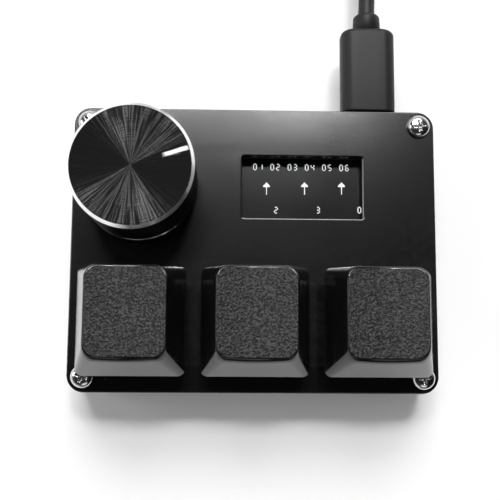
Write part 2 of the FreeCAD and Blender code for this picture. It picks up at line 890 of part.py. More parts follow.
def switch_base(side, x):
    """The lower housing of a switch, with its flange, post, pegs and guide collar."""
    base = piece(f"{side}_switch_base", x, "key_y", BOARD_TOP)
    outline = sketch(base, "outline")
    rounded_rectangle(outline, "switch_body", "switch_body", "switch_corner_radius")
    pad(base, outline, "board_to_plate")
    flange = sketch(base, "flange", offset="board_to_plate")
    rounded_rectangle(flange, "switch_flange", "switch_flange", "switch_flange_radius")
    pad(base, flange, "switch_flange_thickness")
    room = sketch(base, "room", offset=SWITCH_TOP_Z)
    inside = "switch_body - 2 * switch_wall"
    rectangle(room, inside, inside)
    pocket(base, room, f"{SWITCH_TOP_Z} - switch_base_floor")
    post = sketch(base, "post")
    circle(post, "switch_post")
    pad(base, post, "switch_post_drop", Reversed=True)
    pegs = sketch(base, "pegs")
    for end in ("0 - switch_peg_x", "switch_peg_x"):
        circle(pegs, "switch_peg", end)
    pad(base, pegs, "switch_peg_drop", Reversed=True)
    collar = sketch(base, "collar", offset="switch_base_floor")
    circle(collar, "collar_diameter")
    pad(base, collar, "collar_height")
    bore = sketch(base, "bore", offset="switch_base_floor + collar_height")
    circle(bore, "pole_diameter + 2 * pole_clearance")
    depth = "switch_base_floor + collar_height + switch_post_drop - switch_post_floor"
    pocket(base, bore, depth)
    well = sketch(base, "light_well", offset="switch_base_floor")
    window = "2 * led_window_clearance"
    rectangle(well, "light_slot_width", f"led_depth / 2 + {window}", y="led_back")
    pocket(base, well, "switch_base_floor")


def switch_top(side, x):
    """The tapered upper housing, with the stem's throat and a slot for the light."""
    top = piece(f"{side}_switch_top", x, "key_y", f"{BOARD_TOP} + {SWITCH_TOP_Z}")
    outline = sketch(top, "outline")
    rectangle(outline, "switch_top_foot", "switch_top_foot")
    block = pad(top, outline, "switch_top_height")
    bind(block, "TaperAngle", "0 - switch_top_taper")
    room = sketch(top, "room")
    room_height = "switch_top_height - switch_ceiling"
    rectangle(room, "skirt_width + 2 * stem_clearance", "skirt_depth + 2 * stem_clearance")
    pocket(top, room, room_height, Reversed=True)
    throat = sketch(top, "throat", offset="switch_top_height")
    rectangle(throat, "throat_width", "throat_depth")
    pocket(top, throat, "switch_top_height / 2")
    light = sketch(top, "light_slot", offset="switch_top_height")
    rectangle(light, "light_slot_width", "light_slot_depth", y="led_back")
    pocket(top, light, None, Type="ThroughAll")


def switch_stem(side, x):
    """The slider: skirt, platform, cross and guide pole, pocketed for spring and magnet."""
    stem = piece(f"{side}_switch_stem", x, "key_y", BOARD_TOP)
    skirt_top = f"{CEILING_Z} - spring_gap"
    skirt = sketch(stem, "skirt", offset=SKIRT_FOOT)
    rectangle(skirt, "skirt_width", "skirt_depth")
    pad(stem, skirt, f"{skirt_top} - {SKIRT_FOOT}")
    platform = sketch(stem, "platform", offset=skirt_top)
    rectangle(platform, "platform_width", "platform_depth")
    pad(stem, platform, f"{PLATFORM_TOP} - ({skirt_top})")
    cross = sketch(stem, "cross", offset=PLATFORM_TOP)
    cross_outline(cross, "cross_width", "cross_arm_wide", "cross_arm_deep")
    pad(stem, cross, "cross_height")
    room = sketch(stem, "spring_room", offset=SKIRT_FOOT)
    circle(room, "spring_pocket")
    pocket(stem, room, "spring_pocket_depth", Reversed=True)
    pole = sketch(stem, "pole", offset=POLE_FOOT)
    circle(pole, "pole_diameter")
    pad(stem, pole, f"{SKIRT_FOOT} + spring_pocket_depth - {POLE_FOOT}")
    hole = sketch(stem, "magnet_hole", offset=POLE_FOOT)
    circle(hole, "magnet_diameter + 2 * magnet_clearance")
    pocket(stem, hole, "magnet_length + magnet_inset", Reversed=True)


def cross_outline(drawing, width, arm_wide, arm_deep):
    """A plus sign whose two arms have their own thickness."""
    reach, upright, level = f"({width}) / 2", f"({arm_wide}) / 2", f"({arm_deep}) / 2"
    stretch = [(reach, level), (upright, level), (upright, reach)]
    corners = []
    for side, end in CORNERS:
        part = stretch if side * end > 0 else stretch[::-1]
        corners += [(f"{side} * {a}", f"{end} * {b}") for a, b in part]
    polygon(drawing, corners)


def stem_magnet(side, x):
    """The magnet in the foot of the stem's pole."""
    magnet = piece(f"{side}_stem_magnet", x, "key_y", f"{BOARD_TOP} + {POLE_FOOT} + magnet_inset")
    outline = sketch(magnet, "outline")
    circle(outline, "magnet_diameter")
    pad(magnet, outline, "magnet_length")


def switch_spring(side, x):
    """The return spring, a plain sleeve of its coils' size."""
    foot = "switch_base_floor + spring_gap"
    spring = piece(f"{side}_switch_spring", x, "key_y", f"{BOARD_TOP} + {foot}")
    outline = sketch(spring, "outline")
    circle(outline, "spring_diameter + spring_wire")
    circle(outline, "spring_diameter - spring_wire")
    pad(spring, outline, f"{SKIRT_FOOT} + spring_pocket_depth - spring_gap - ({foot})")


def keycap(side, x):
    """A hollow keycap: lofted skirt, dished top, and a post for the stem's cross."""
    cap = piece(f"{side}_keycap", x, "key_y", f"{BOARD_TOP} + board_to_plate + cap_lift")
    foot = sketch(cap, "foot")
    rounded_rectangle(foot, "cap_foot", "cap_foot", "cap_foot_radius")
    crown = sketch(cap, "crown", offset="cap_height")
    rounded_rectangle(
        crown, "cap_top_width", "cap_top_depth", "cap_top_radius", y="cap_top_back"
    )
    loft(cap, [foot, crown])
    dish = sketch(cap, "dish", "XZ_Plane")
    bend = "((cap_top_width ^ 2 / 4 + cap_dish ^ 2) / (2 * cap_dish))"
    circle(dish, f"2 * {bend}", "0", f"cap_height - cap_dish + {bend}")
    crown = pocket(cap, dish, None, Type="ThroughAll", SideType="Symmetric")

    def top_rim(edge):
        return edge.BoundBox.ZMin > number("cap_height - cap_dish - cap_edge_round")

    dress(cap, "Fillet", crown, edges_where(crown, top_rim), "cap_edge_round")
    ceiling = "cap_height - cap_dish - cap_top_wall"
    room_foot = sketch(cap, "room_foot")
    inner = "cap_foot - 2 * cap_wall"
    rectangle(room_foot, inner, inner)
    room_top = sketch(cap, "room_top", offset=ceiling)
    share = f"({ceiling}) / cap_height"
    room_width = f"(cap_foot - (cap_foot - cap_top_width) * {share} - 2 * cap_wall)"
    room_depth = f"(cap_foot - (cap_foot - cap_top_depth) * {share} - 2 * cap_wall)"
    back = f"cap_top_back * {share}"
    rectangle(room_top, room_width, room_depth, y=back)
    loft(cap, [room_foot, room_top], "SubtractiveLoft")
    post_foot = f"{PLATFORM_TOP} + cap_post_gap - board_to_plate - cap_lift"
    post = sketch(cap, "post", offset=post_foot)
    circle(post, "cap_post")
    pad(cap, post, f"{ceiling} - ({post_foot})")
    cross = sketch(cap, "cross", offset=post_foot)
    play = "2 * cross_clearance"
    cross_outline(
        cross, f"cross_width + {play}", f"cross_arm_wide + {play}", f"cross_arm_deep + {play}"
    )
    pocket(cap, cross, "cross_height", Reversed=True)


def keys():
    """The three keys, each a switch with its own cap."""
    for side, x in KEYS.items():
        switch_base(side, x)
        switch_top(side, x)
        switch_stem(side, x)
        stem_magnet(side, x)
        switch_spring(side, x)
        keycap(side, x)


def encoder_piece(name, up="0"):
    """A piece that stands on the knob's axis, at a height over the board."""
    return piece(name, "knob_x", "knob_y", f"{BOARD_TOP} + {up}")


def encoder_base():
    """The encoder's moulded base, a cup that holds the click dome and the rotor."""
    base = encoder_piece("encoder_base")
    outline = sketch(base, "outline")
    rounded_rectangle(outline, "encoder_width", "encoder_depth", "encoder_corner_radius")
    pad(base, outline, "encoder_base_height")
    cup = sketch(base, "cup", offset="encoder_base_height")
    circle(cup, "encoder_bore")
    pocket(base, cup, "encoder_base_height - encoder_floor")


def encoder_housing():
    """The cast top of the encoder with the bushing that carries the shaft."""
    housing = encoder_piece("encoder_housing", "encoder_base_height")
    outline = sketch(housing, "outline")
    rounded_rectangle(outline, "encoder_width", "encoder_depth", "encoder_corner_radius")
    pad(housing, outline, "encoder_housing_height")
    bushing = sketch(housing, "bushing", offset="encoder_housing_height")
    circle(bushing, "bushing_diameter")
    neck = pad(housing, bushing, "bushing_length")
    rim = at_level(neck, "encoder_housing_height + bushing_length")
    dress(housing, "Chamfer", neck, rim, "bushing_bevel")
    room = sketch(housing, "room")
    circle(room, "encoder_bore")
    pocket(housing, room, "encoder_housing_height - encoder_ceiling", Reversed=True)
    bore = sketch(housing, "bore")
    circle(bore, "shaft_diameter + 2 * bushing_clearance")
    pocket(housing, bore, None, Type="ThroughAll", Reversed=True)


def encoder_clip():
    """The sheet clip that holds the housing down on the base."""
    clip = encoder_piece("encoder_clip")
    over = "(encoder_base_height + encoder_housing_height + clip_gap)"
    strap = sketch(clip, "strap", offset=over)
    rectangle(strap, "encoder_width + 2 * (clip_thickness + clip_gap)", "encoder_depth")
    circle(strap, "bushing_diameter + 2 * rotor_clearance")
    pad(clip, strap, "clip_thickness")
    for side in (-1, 1):
        name = "left_leg" if side < 0 else "right_leg"
        leg = sketch(clip, name)
        x = f"{side} * (encoder_width / 2 + clip_gap + clip_thickness / 2)"
        rectangle(leg, "clip_thickness", "clip_leg", x)
        pad(clip, leg, over)


def encoder_pins():
    """Five flat pins, soldered through the board."""
    pin_body = pattern_body("encoder_pin")
    outline = sketch(pin_body, "outline", offset="0 - pin_drop")
    rectangle(outline, "pin_width", "pin_thickness")
    pad(pin_body, outline, "pin_drop + pin_rise")
    spots = [(f"knob_x + {x}", f"knob_y + {y}", BOARD_TOP) for x, y in encoder_pin_spots()]
    group("encoder_pins", pin_body, spots)


def encoder_rotor():
    """The code disc, driven by the square foot of the shaft."""
    level = f"{COLLAR_TOP} - collar_thickness - knob_travel - rotor_gap - rotor_thickness"
    rotor = encoder_piece("encoder_rotor", level)
    outline = sketch(rotor, "outline")
    circle(outline, "encoder_bore - 2 * rotor_clearance")
    hole = "drive_side + 2 * drive_clearance"
    rectangle(outline, hole, hole)
    pad(rotor, outline, "rotor_thickness")


def encoder_shaft():
    """The push shaft: square foot, collar, round neck and flatted end."""
    shaft = encoder_piece("encoder_shaft")
    collar_foot = f"({COLLAR_TOP} - collar_thickness)"
    foot = sketch(shaft, "foot", offset=SHAFT_FOOT)
    rectangle(foot, "drive_side", "drive_side")
    pad(shaft, foot, f"{collar_foot} - {SHAFT_FOOT}")
    collar = sketch(shaft, "collar", offset=collar_foot)
    circle(collar, "collar_width")
    pad(shaft, collar, "collar_thickness")
    neck = sketch(shaft, "neck", offset=COLLAR_TOP)
    circle(neck, "shaft_diameter")
    rod = pad(shaft, neck, f"shaft_length - {COLLAR_TOP}")
    tip = at_level(rod, "shaft_length")
    dress(shaft, "Chamfer", rod, tip, "shaft_bevel")
    flat = sketch(shaft, "flat", offset="shaft_length")
    rectangle(flat, "shaft_diameter", "2 * shaft_diameter", "shaft_flat_thickness")
    pocket(shaft, flat, "shaft_flat_length")


def encoder_dome():
    """The snap dome that the shaft clicks."""
    dome = encoder_piece("encoder_dome", "encoder_floor + dome_gap")
    outline = sketch(dome, "outline", "XZ_Plane")
    polygon(
        outline,
        [
            ("dome_radius - dome_sheet * 2", "0"),
            ("dome_radius", "0"),
            ("dome_crown", DOME_HEIGHT),
            ("0", DOME_HEIGHT),
            ("0", "knob_travel"),
            ("dome_crown - dome_sheet", "knob_travel"),
        ],
    )
    turned(dome, outline)


def knob_piece(name, up="0"):
    """A piece of the knob, at a height over the knob's foot."""
    return piece(name, "knob_x", "knob_y", f"{PLATE_TOP} + knob_lift + {up}")


def knob_shell():
    """The turned cup of the knob: bevelled rim, line near its foot, index groove."""
    shell = knob_piece("knob_shell")
    outline = sketch(shell, "outline", "XZ_Plane")
    outer = "knob_diameter / 2"
    inner = "knob_diameter / 2 - knob_wall"
    waist = "knob_diameter / 2 - knob_groove_depth"
    polygon(
        outline,
        [
            (inner, "0"),
            (f"{outer} - knob_foot_bevel", "0"),
            (outer, "knob_foot_bevel"),
            (outer, "knob_groove_up"),
            (waist, "knob_groove_up + knob_groove_height / 3"),
            (waist, "knob_groove_up + knob_groove_height * 2 / 3"),
            (outer, "knob_groove_up + knob_groove_height"),
            (outer, "knob_height - knob_bevel"),
            (f"{outer} - knob_bevel", "knob_height"),
            ("0", "knob_height"),
            ("0", "knob_height - knob_top_wall"),
            (inner, "knob_height - knob_top_wall"),
        ],
    )
    turned(shell, outline)
    groove = sketch(shell, "index", offset="knob_height")
    index_outline(groove, "0")
    pocket(shell, groove, "index_depth")


def index_outline(drawing, play):
    """The index line's outline, out to the knob's bevel, at its own angle."""
    far = "(knob_diameter / 2 - knob_bevel - index_width / 2)"
    near = f"({far} - index_length)"
    half = f"(index_width / 2 - {play})"
    along, across = "cos(index_angle * 1 deg)", "sin(index_angle * 1 deg)"
    corners = []
    for reach, side in ((near, "-"), (far, "-"), (far, "+"), (near, "+")):
        other = "+" if side == "-" else "-"
        x = f"{reach} * {along} {other} {half} * {across}"
        y = f"{reach} * {across} {side} {half} * {along}"
        corners.append((x, y))
    polygon(drawing, corners)


def knob_index():
    """The pale line that fills the groove in the knob's face."""
    line = knob_piece("knob_index", "knob_height - index_depth")
    outline = sketch(line, "outline")
    index_outline(outline, "index_clearance")
    pad(line, outline, "index_depth - index_clearance")


def knob_core():
    """The moulded core: a disc under the face, a hub on the shaft, a rim and ribs."""
    core = knob_piece("knob_core")
    foot_level = f"({PLATE_TOP} + knob_lift)"
    top = "(knob_height - knob_top_wall - core_clearance)"
    disc_foot = f"({top} - core_disc)"
    radius = "(knob_diameter / 2 - knob_wall - core_clearance)"
    disc = sketch(core, "disc", offset=disc_foot)
    circle(disc, f"2 * {radius}")
    pad(core, disc, "core_disc")
    rim = sketch(core, "rim", offset=disc_foot)
    circle(rim, f"2 * {radius}")
    circle(rim, f"2 * ({radius} - core_rim_wall)")
    pad(core, rim, "core_rim_drop - core_disc", Reversed=True)
    hub_foot = f"({BOARD_TOP} + {BUSHING_TOP} + knob_travel + core_hub_gap - {foot_level})"
    hub = sketch(core, "hub", offset=disc_foot)
    circle(hub, "core_hub")
    pad(core, hub, f"{disc_foot} - {hub_foot}", Reversed=True)
    span = f"(2 * {radius} - core_rib)"
    for name, width, depth in (("wide", span, "core_rib"), ("deep", "core_rib", span)):
        ribs = sketch(core, f"{name}_ribs", offset=disc_foot)
        rectangle(ribs, width, depth)
        pad(core, ribs, "core_rim_drop - core_disc", Reversed=True)
    bore = sketch(core, "bore", offset=hub_foot)
    circle(bore, "shaft_diameter + 2 * bushing_clearance")
    shaft_top = f"({BOARD_TOP} + shaft_length - {foot_level})"
    pocket(core, bore, f"{shaft_top} + core_clearance - {hub_foot}", Reversed=True)


def display_module():
    """The bare screen on its tape, the gasket over it and its ribbon to the board."""
    tape_top = f"{BOARD_TOP} + tape_thickness"
    middle = "screen_back - screen_depth / 2"
    tape = piece("display_tape", "window_x", middle, BOARD_TOP)
    outline = sketch(tape, "outline")
    rectangle(outline, "screen_width - 2 * tape_inset", "screen_depth - 2 * tape_inset")
    pad(tape, outline, "tape_thickness")
    panel = piece("display_panel", "window_x", middle, tape_top)
    lower = sketch(panel, "lower_glass")
    rectangle(lower, "screen_width", "screen_depth")
    pad(panel, lower, "screen_glass")
    upper = sketch(panel, "upper_glass", offset="screen_glass")
    rectangle(upper, "screen_width", "screen_depth - screen_ledge", y="screen_ledge / 2")
    pad(panel, upper, "screen_glass")
    gasket_foot = f"{tape_top} + 2 * screen_glass + gasket_gap"
    gasket = piece("display_gasket", "window_x", "window_y", gasket_foot)
    frame = sketch(gasket, "frame")
    back = "screen_back - window_y"
    front = f"{back} - screen_depth + screen_ledge"
    side = "screen_width / 2"
    polygon(frame, [(f"0 - {side}", front), (side, front), (side, back), (f"0 - {side}", back)])
    play = "2 * gasket_clearance"
    rectangle(frame, f"window_width + {play}", f"window_depth + {play}")
    room = f"{PLATE_UNDERSIDE} - ({tape_top}) - 2 * screen_glass - 2 * gasket_gap"
    pad(gasket, frame, room)
    display_ribbon()


def display_ribbon():
    """The flat ribbon, from the screen's ledge down to the board."""
    front = "screen_back - screen_depth"
    ribbon = piece("display_ribbon", "window_x - ribbon_width / 2", front, BOARD_TOP)
    high = "(tape_thickness + screen_glass)"
    bend = "ribbon_slope / 4"
    outline = sketch(ribbon, "outline", "YZ_Plane")
    polygon(
        outline,
        [
            ("ribbon_lap", high),
            ("ribbon_lap", f"{high} + ribbon_sheet"),
            (f"0 - {bend}", f"{high} + ribbon_sheet"),
            ("0 - ribbon_slope", "ribbon_sheet"),
            ("0 - ribbon_slope - ribbon_foot", "ribbon_sheet"),
            ("0 - ribbon_slope - ribbon_foot", "0"),
            ("ribbon_sheet / 2 - ribbon_slope", "0"),
            (f"ribbon_sheet / 2 - {bend}", high),
        ],
    )
    pad(ribbon, outline, "ribbon_width")


def usb_socket():
    """The socket: a seamed shell and the tongue inside it."""
    shell = piece("usb_socket_shell", "lead_x", SOCKET_MOUTH_Y, LEAD_Z)
    outer = sketch(shell, "outer", "XZ_Plane")
    slot(outer, "socket_width", "socket_height")
    pad(shell, outer, "socket_length")
    inner = sketch(shell, "inner", "XZ_Plane")
    inner_width = "(socket_width - 2 * socket_wall)"
    inner_height = "(socket_height - 2 * socket_wall)"
    slot(inner, inner_width, inner_height)
    pocket(shell, inner, "socket_length - socket_back", Reversed=True)
    rear = "(socket_length - socket_back)"
    tongue = piece("usb_socket_tongue", "lead_x", f"{SOCKET_MOUTH_Y} - {rear}", LEAD_Z)
    block = sketch(tongue, "block", "XZ_Plane")
    play = "2 * tongue_clearance"
    slot(block, f"{inner_width} - {play}", f"({inner_height} - {play})")
    pad(tongue, block, "tongue_block", Reversed=True)
    blade = sketch(tongue, "blade", "XZ_Plane")
    rectangle(blade, "tongue_width", "tongue_thickness")
    pad(tongue, blade, f"{rear} - tongue_tip_inset", Reversed=True)


def usb_plug():
    """The plug in the socket: shell, contact insert, grip and strain relief."""
    shell = piece("usb_plug_shell", "lead_x", GRIP_Y, LEAD_Z)
    outer = sketch(shell, "outer", "XZ_Plane")
    slot(outer, "plug_width", "plug_height")
    pad(shell, outer, "plug_length")
    inner = sketch(shell, "inner", "XZ_Plane")
    inner_width = "(plug_width - 2 * plug_wall)"
    inner_height = "(plug_height - 2 * plug_wall)"
    slot(inner, inner_width, inner_height)
    pocket(shell, inner, None, Type="ThroughAll", Reversed=True)
    insert = piece("usb_plug_insert", "lead_x", GRIP_Y, LEAD_Z)
    core = sketch(insert, "core", "XZ_Plane")
    play = "2 * tongue_clearance"
    slot(core, f"{inner_width} - {play}", f"({inner_height} - {play})")
    pad(insert, core, "plug_length - tongue_clearance")
    mouth = sketch(insert, "mouth", "XZ_Plane", "plug_length")
    rectangle(mouth, "plug_slot_width", "plug_slot_height")
    pocket(insert, mouth, "plug_slot_depth")
    grip = piece("usb_plug_grip", "lead_x", GRIP_Y, LEAD_Z)
    foot = sketch(grip, "foot", "XZ_Plane")
    rounded_rectangle(foot, "grip_width", "grip_height", "grip_corner_radius")
    pad(grip, foot, "grip_length - grip_shoulder", Reversed=True)
    waist = sketch(grip, "waist", "XZ_Plane", "0 - grip_length + grip_shoulder")
    rounded_rectangle(waist, "grip_width", "grip_height", "grip_corner_radius")
    neck = sketch(grip, "neck", "XZ_Plane", "0 - grip_length")
    rounded_rectangle(neck, "grip_width - grip_shoulder", "relief_diameter", "grip_corner_radius")
    loft(grip, [waist, neck])
    relief = piece("cable_strain_relief", "lead_x", RELIEF_Y, LEAD_Z)
    outline = sketch(relief, "outline", "XY_Plane")
    polygon(
        outline,
        [
            ("0", "0"),
            ("relief_diameter / 2", "0"),
            ("relief_diameter / 2", "relief_length / 3"),
            ("relief_tip_diameter / 2", "relief_length"),
            ("0", "relief_length"),
        ],
    )
    turned(relief, outline)


COIL_TURNS_IN = 4
COIL_TURNS_OUT = 3.5
TURN_QUARTERS = 4
HALF_TURN = 0.5
SLOPE_STEP_SHARE = 0.001
RUN_END_SHARE = 0.45
# The coil's gap is measured on points this far apart, in diameters, and points nearer
# along the tube than so many diameters are neighbours.
GAP_STEP_SHARE = 1 / 3
NEIGHBOUR_DIAMETERS = 3
# The lead's route where it isn't coiled, in steps to the right and back: from the
# strain relief down to the table and to the coil, then from the coil to the far plug.
RUN_STEPS = [(0.0, 0.0), (0.0, 9.7), (-0.2, 25.7), (-0.2, 39.7)]
TAIL_STEPS = [(0.0, 0.0), (0.0, 8.0), (3.75, 16.5), (3.75, 24.5)]


def tube(name, path, diameter, centre):
    """A round tube of one size along a path, as a kept piece."""
    start = path.Edges[0]
    direction = start.tangentAt(start.FirstParameter)
    ring = Part.Wire([Part.makeCircle(diameter / 2, centre, direction)])
    solid = path.makePipeShell([ring], True, False)
    feature = doc.addObject("Part::Feature", name)
    feature.Label = name
    feature.Shape = solid
    pieces.append(feature)
    section = math.pi * diameter**2 / 4
    share = solid.Volume / (section * path.Length)
    print(f"{name}: {path.Length:.1f} mm long, {share:.4f} of section times length")
    return feature


def smooth_route(name, points):
    """Straight runs joined by tangent arcs as large as the runs allow."""
    spots = list(points)
    edges = []
    here = spots[0]
    for before, corner, after in zip(spots, spots[1:], spots[2:]):
        back, on = (before - corner), (after - corner)
        half_turn = (math.pi - back.getAngle(on)) / 2
        cut = RUN_END_SHARE * min(back.Length, on.Length)
        radius = cut / math.tan(half_turn)
        print(f"{name}: an arc of radius {radius:.1f} mm")
        start = corner + back.normalize() * cut
        end = corner + on.normalize() * cut
        inward = (back + on).normalize()
        middle = corner + inward * (radius / math.cos(half_turn) - radius)
        edges.append(Part.LineSegment(here, start).toShape())
        edges.append(Part.Arc(start, middle, end).toShape())
        here = end
    edges.append(Part.LineSegment(here, spots[-1]).toShape())
    return Part.Wire(edges)


def coil_point(turn, centre):
    """A point of the coil: in by one layer, up in half a turn, and out again."""
    outer, pitch = number("coil_outer_radius"), number("coil_turn_pitch")
    climb = min(max((turn - COIL_TURNS_IN) / HALF_TURN, 0), 1)
    wound_in = min(turn, COIL_TURNS_IN)
    wound_out = max(turn - COIL_TURNS_IN - HALF_TURN, 0)
    dip = number("coil_dip") * math.sin(math.pi * climb)
    radius = outer - pitch * (wound_in - wound_out) - dip
    rise = number("coil_layer_pitch") * (1 - math.cos(math.pi * climb)) / 2
    angle = 2 * math.pi * turn
    return centre + Vector(radius * math.cos(angle), radius * math.sin(angle), rise)


def coil_way(turn, centre):
    """The coil's direction at a point."""
    ahead = coil_point(turn + SLOPE_STEP_SHARE, centre)
    behind = coil_point(turn - SLOPE_STEP_SHARE, centre)
    return (ahead - behind).normalize()


def coil_path(centre):
    """The coil's centreline, two arcs to each quarter turn, straight on at both ends."""
    total = COIL_TURNS_IN + HALF_TURN + COIL_TURNS_OUT
    count = round(total * TURN_QUARTERS)
    turns = [step / TURN_QUARTERS for step in range(count + 1)]
    spots = [coil_point(turn, centre) for turn in turns]
    ways = [coil_way(turn, centre) for turn in turns]
    ways[0] = ways[-1] = Vector(0, 1, 0)
    edges = []
    for step in range(count):
        edges += biarc(spots[step], ways[step], spots[step + 1], ways[step + 1])
    return Part.Wire(edges)


def least_gap(path, diameter):
    """The least gap between parts of a tube that aren't neighbours, measured on points."""
    spots = path.discretize(Distance=diameter * GAP_STEP_SHARE)
    skip = round(NEIGHBOUR_DIAMETERS / GAP_STEP_SHARE)
    least = min(
        spot.distanceToPoint(other)
        for index, spot in enumerate(spots)
        for other in spots[index + skip :]
    )
    return least - diameter


def biarc(start, start_way, end, end_way):
    """Two arcs that meet smoothly and leave and arrive in the given directions."""
    across = end - start
    ways = start_way + end_way
    turn = 2 * (1 - start_way.dot(end_way))
    dot = across.dot(ways)
    reach = (-dot + math.sqrt(dot**2 + turn * across.dot(across))) / turn
    first, second = start + start_way * reach, end - end_way * reach
    middle = (first + second) / 2
    return arc_to(start, start_way, middle), arc_to(middle, (second - first).normalize(), end)


def arc_to(start, way, end):
    """The arc that leaves a point in a direction and ends at another."""
    chord = end - start
    along = chord.dot(way)
    side = chord - way * along
    lean = math.atan2(side.Length, along)
    rise = chord.Length / 2 * math.tan(lean / 2)
    out = (way * chord.dot(chord) - chord * along).normalize()
    return Part.Arc(start, start + chord / 2 + out * rise, end).toShape()


def stepped_route(steps, x, y, first_level, last_level):
    """A route's points: its steps from a start, two at one level and the rest at another."""
    levels = [first_level, first_level, last_level, last_level]
    route = []
    for (right, back), level in zip(steps, levels):
        route.append(Vector(number(x) + right, number(y) + back, number(level)))
    return route


def run_route():
    """The lead's points from its strain relief to the coil."""
    relief_end = f"{RELIEF_Y} + relief_length"
    return stepped_route(RUN_STEPS, "lead_x", relief_end, LEAD_Z, COIL_Z)


def coil_centre():
    """The middle of the coil, at the level of its lower turns."""
    return run_route()[-1] - Vector(number("coil_outer_radius"), 0, 0)


def tail_route():
    """The lead's points from the coil's last turn to the far plug."""
    centre = coil_centre()
    turns = COIL_TURNS_IN - COIL_TURNS_OUT
    x = f"{centre.x} + coil_outer_radius - {turns} * coil_turn_pitch"
    upper = f"{COIL_Z} + coil_layer_pitch"
    return stepped_route(TAIL_STEPS, x, str(centre.y), upper, "far_grip_height / 2")


def cable():
    """The lead: its run to the table, its coil with a tie, and the tail to the far plug."""
    diameter = number("cable_diameter")
    points = run_route()
    tube("cable_run", smooth_route("cable_run", points), diameter, points[0])
    coil = coil_path(coil_centre())
    print(f"cable_coil: least gap to itself {least_gap(coil, diameter):.2f} mm")
    tube("cable_coil", coil, diameter, coil.Vertexes[0].Point)
    points = tail_route()
    tube("cable_tail", smooth_route("cable_tail", points), diameter, points[0])
    cable_tie()


def cable_tie():
    """The flat strap round one side of the coil, lying on the table under it."""
    inmost = f"(coil_outer_radius - {COIL_TURNS_IN} * coil_turn_pitch - coil_dip)"
    near = f"sqrt(({inmost} - cable_diameter / 2) ^ 2 - tie_width ^ 2 / 4)"
    far = "(coil_outer_radius - coil_turn_pitch / 2 + cable_diameter / 2)"
    width = f"({far} - {near} + 2 * tie_gap)"
    height = "(coil_layer_pitch + cable_diameter + 2 * tie_gap)"
    tie = piece("cable_tie", *(str(value) for value in coil_centre()))
    band = sketch(tie, "band", "XZ_Plane")
    middle = (f"0 - ({far} + {near}) / 2", "coil_layer_pitch / 2")
    outer = (f"({width} + 2 * tie_thickness)", f"({height} + 2 * tie_thickness)")
    rounded_rectangle(band, *outer, "tie_corner_radius", *middle)
    rounded_rectangle(band, width, height, "(tie_corner_radius - tie_thickness)", *middle)
    pad(tie, band, "tie_width", SideType="Symmetric")


def far_plug():
    """The plug on the lead's far end: grip, shell and contact tongue."""
    end = [str(value) for value in tail_route()[-1]]
    grip = piece("far_plug_grip", *end)
    tail = sketch(grip, "tail", "XZ_Plane")
    rounded_rectangle(tail, "far_grip_tail_width", "far_grip_tail_height", "far_grip_corner_radius")
    shoulder = sketch(grip, "shoulder", "XZ_Plane", "0 - far_grip_taper")
    rounded_rectangle(
        shoulder, "far_grip_width", "far_grip_height", "far_grip_corner_radius"
    )
    loft(grip, [tail, shoulder])
    body = sketch(grip, "body", "XZ_Plane", "0 - far_grip_taper")
    rounded_rectangle(body, "far_grip_width", "far_grip_height", "far_grip_corner_radius")
    pad(grip, body, "far_grip_length - far_grip_taper", Reversed=True)
    shell = piece("far_plug_shell", *end)
    outer = sketch(shell, "outer", "XZ_Plane", "0 - far_grip_length")
    rectangle(outer, "far_shell_width", "far_shell_height")
    inner_width = "(far_shell_width - 2 * far_shell_wall)"
    inner_height = "(far_shell_height - 2 * far_shell_wall)"
    rectangle(outer, inner_width, inner_height)
    pad(shell, outer, "far_shell_length", Reversed=True)
    tongue = piece("far_plug_tongue", *end)
    blade = sketch(tongue, "blade", "XZ_Plane", "0 - far_grip_length")
    play = "far_tongue_clearance"
    level = f"0 - {inner_height} / 2 + {play} + far_tongue_height / 2"
    rectangle(blade, f"{inner_width} - 2 * {play}", "far_tongue_height", y=level)
    pad(tongue, blade, "far_shell_length - far_tongue_inset", Reversed=True)


def check_pieces():
    """Stop if any object failed or any kept piece has no sound solid."""
    for thing in doc.Objects:
        if "Invalid" in thing.State or "Error" in thing.State:
            raise ValueError(f"{thing.Name} failed: {thing.State}")
    for kept in pieces:
        shape = kept.Shape
        if shape.isNull() or not shape.isValid() or not shape.Solids:
            raise ValueError(f"{kept.Label} has no valid shape")


def write_pieces():
    """Write each kept piece to its own file."""
    os.makedirs("parts", exist_ok=True)
    for kept in pieces:
        kept.Shape.exportStep(f"parts/{kept.Label}.step")


fill_sheet()
top_plate()
bottom_case()
plate_screws()
threaded_inserts()
rubber_feet()
main_board()
board_parts()
key_electronics()
keys()
encoder_base()
encoder_housing()
encoder_clip()
encoder_pins()
encoder_rotor()
encoder_shaft()
encoder_dome()
knob_shell()
knob_index()
knob_core()
display_module()
usb_socket()
usb_plug()
cable()
far_plug()
doc.recompute()
check_pieces()
write_pieces()
print(f"{len(pieces)} pieces")
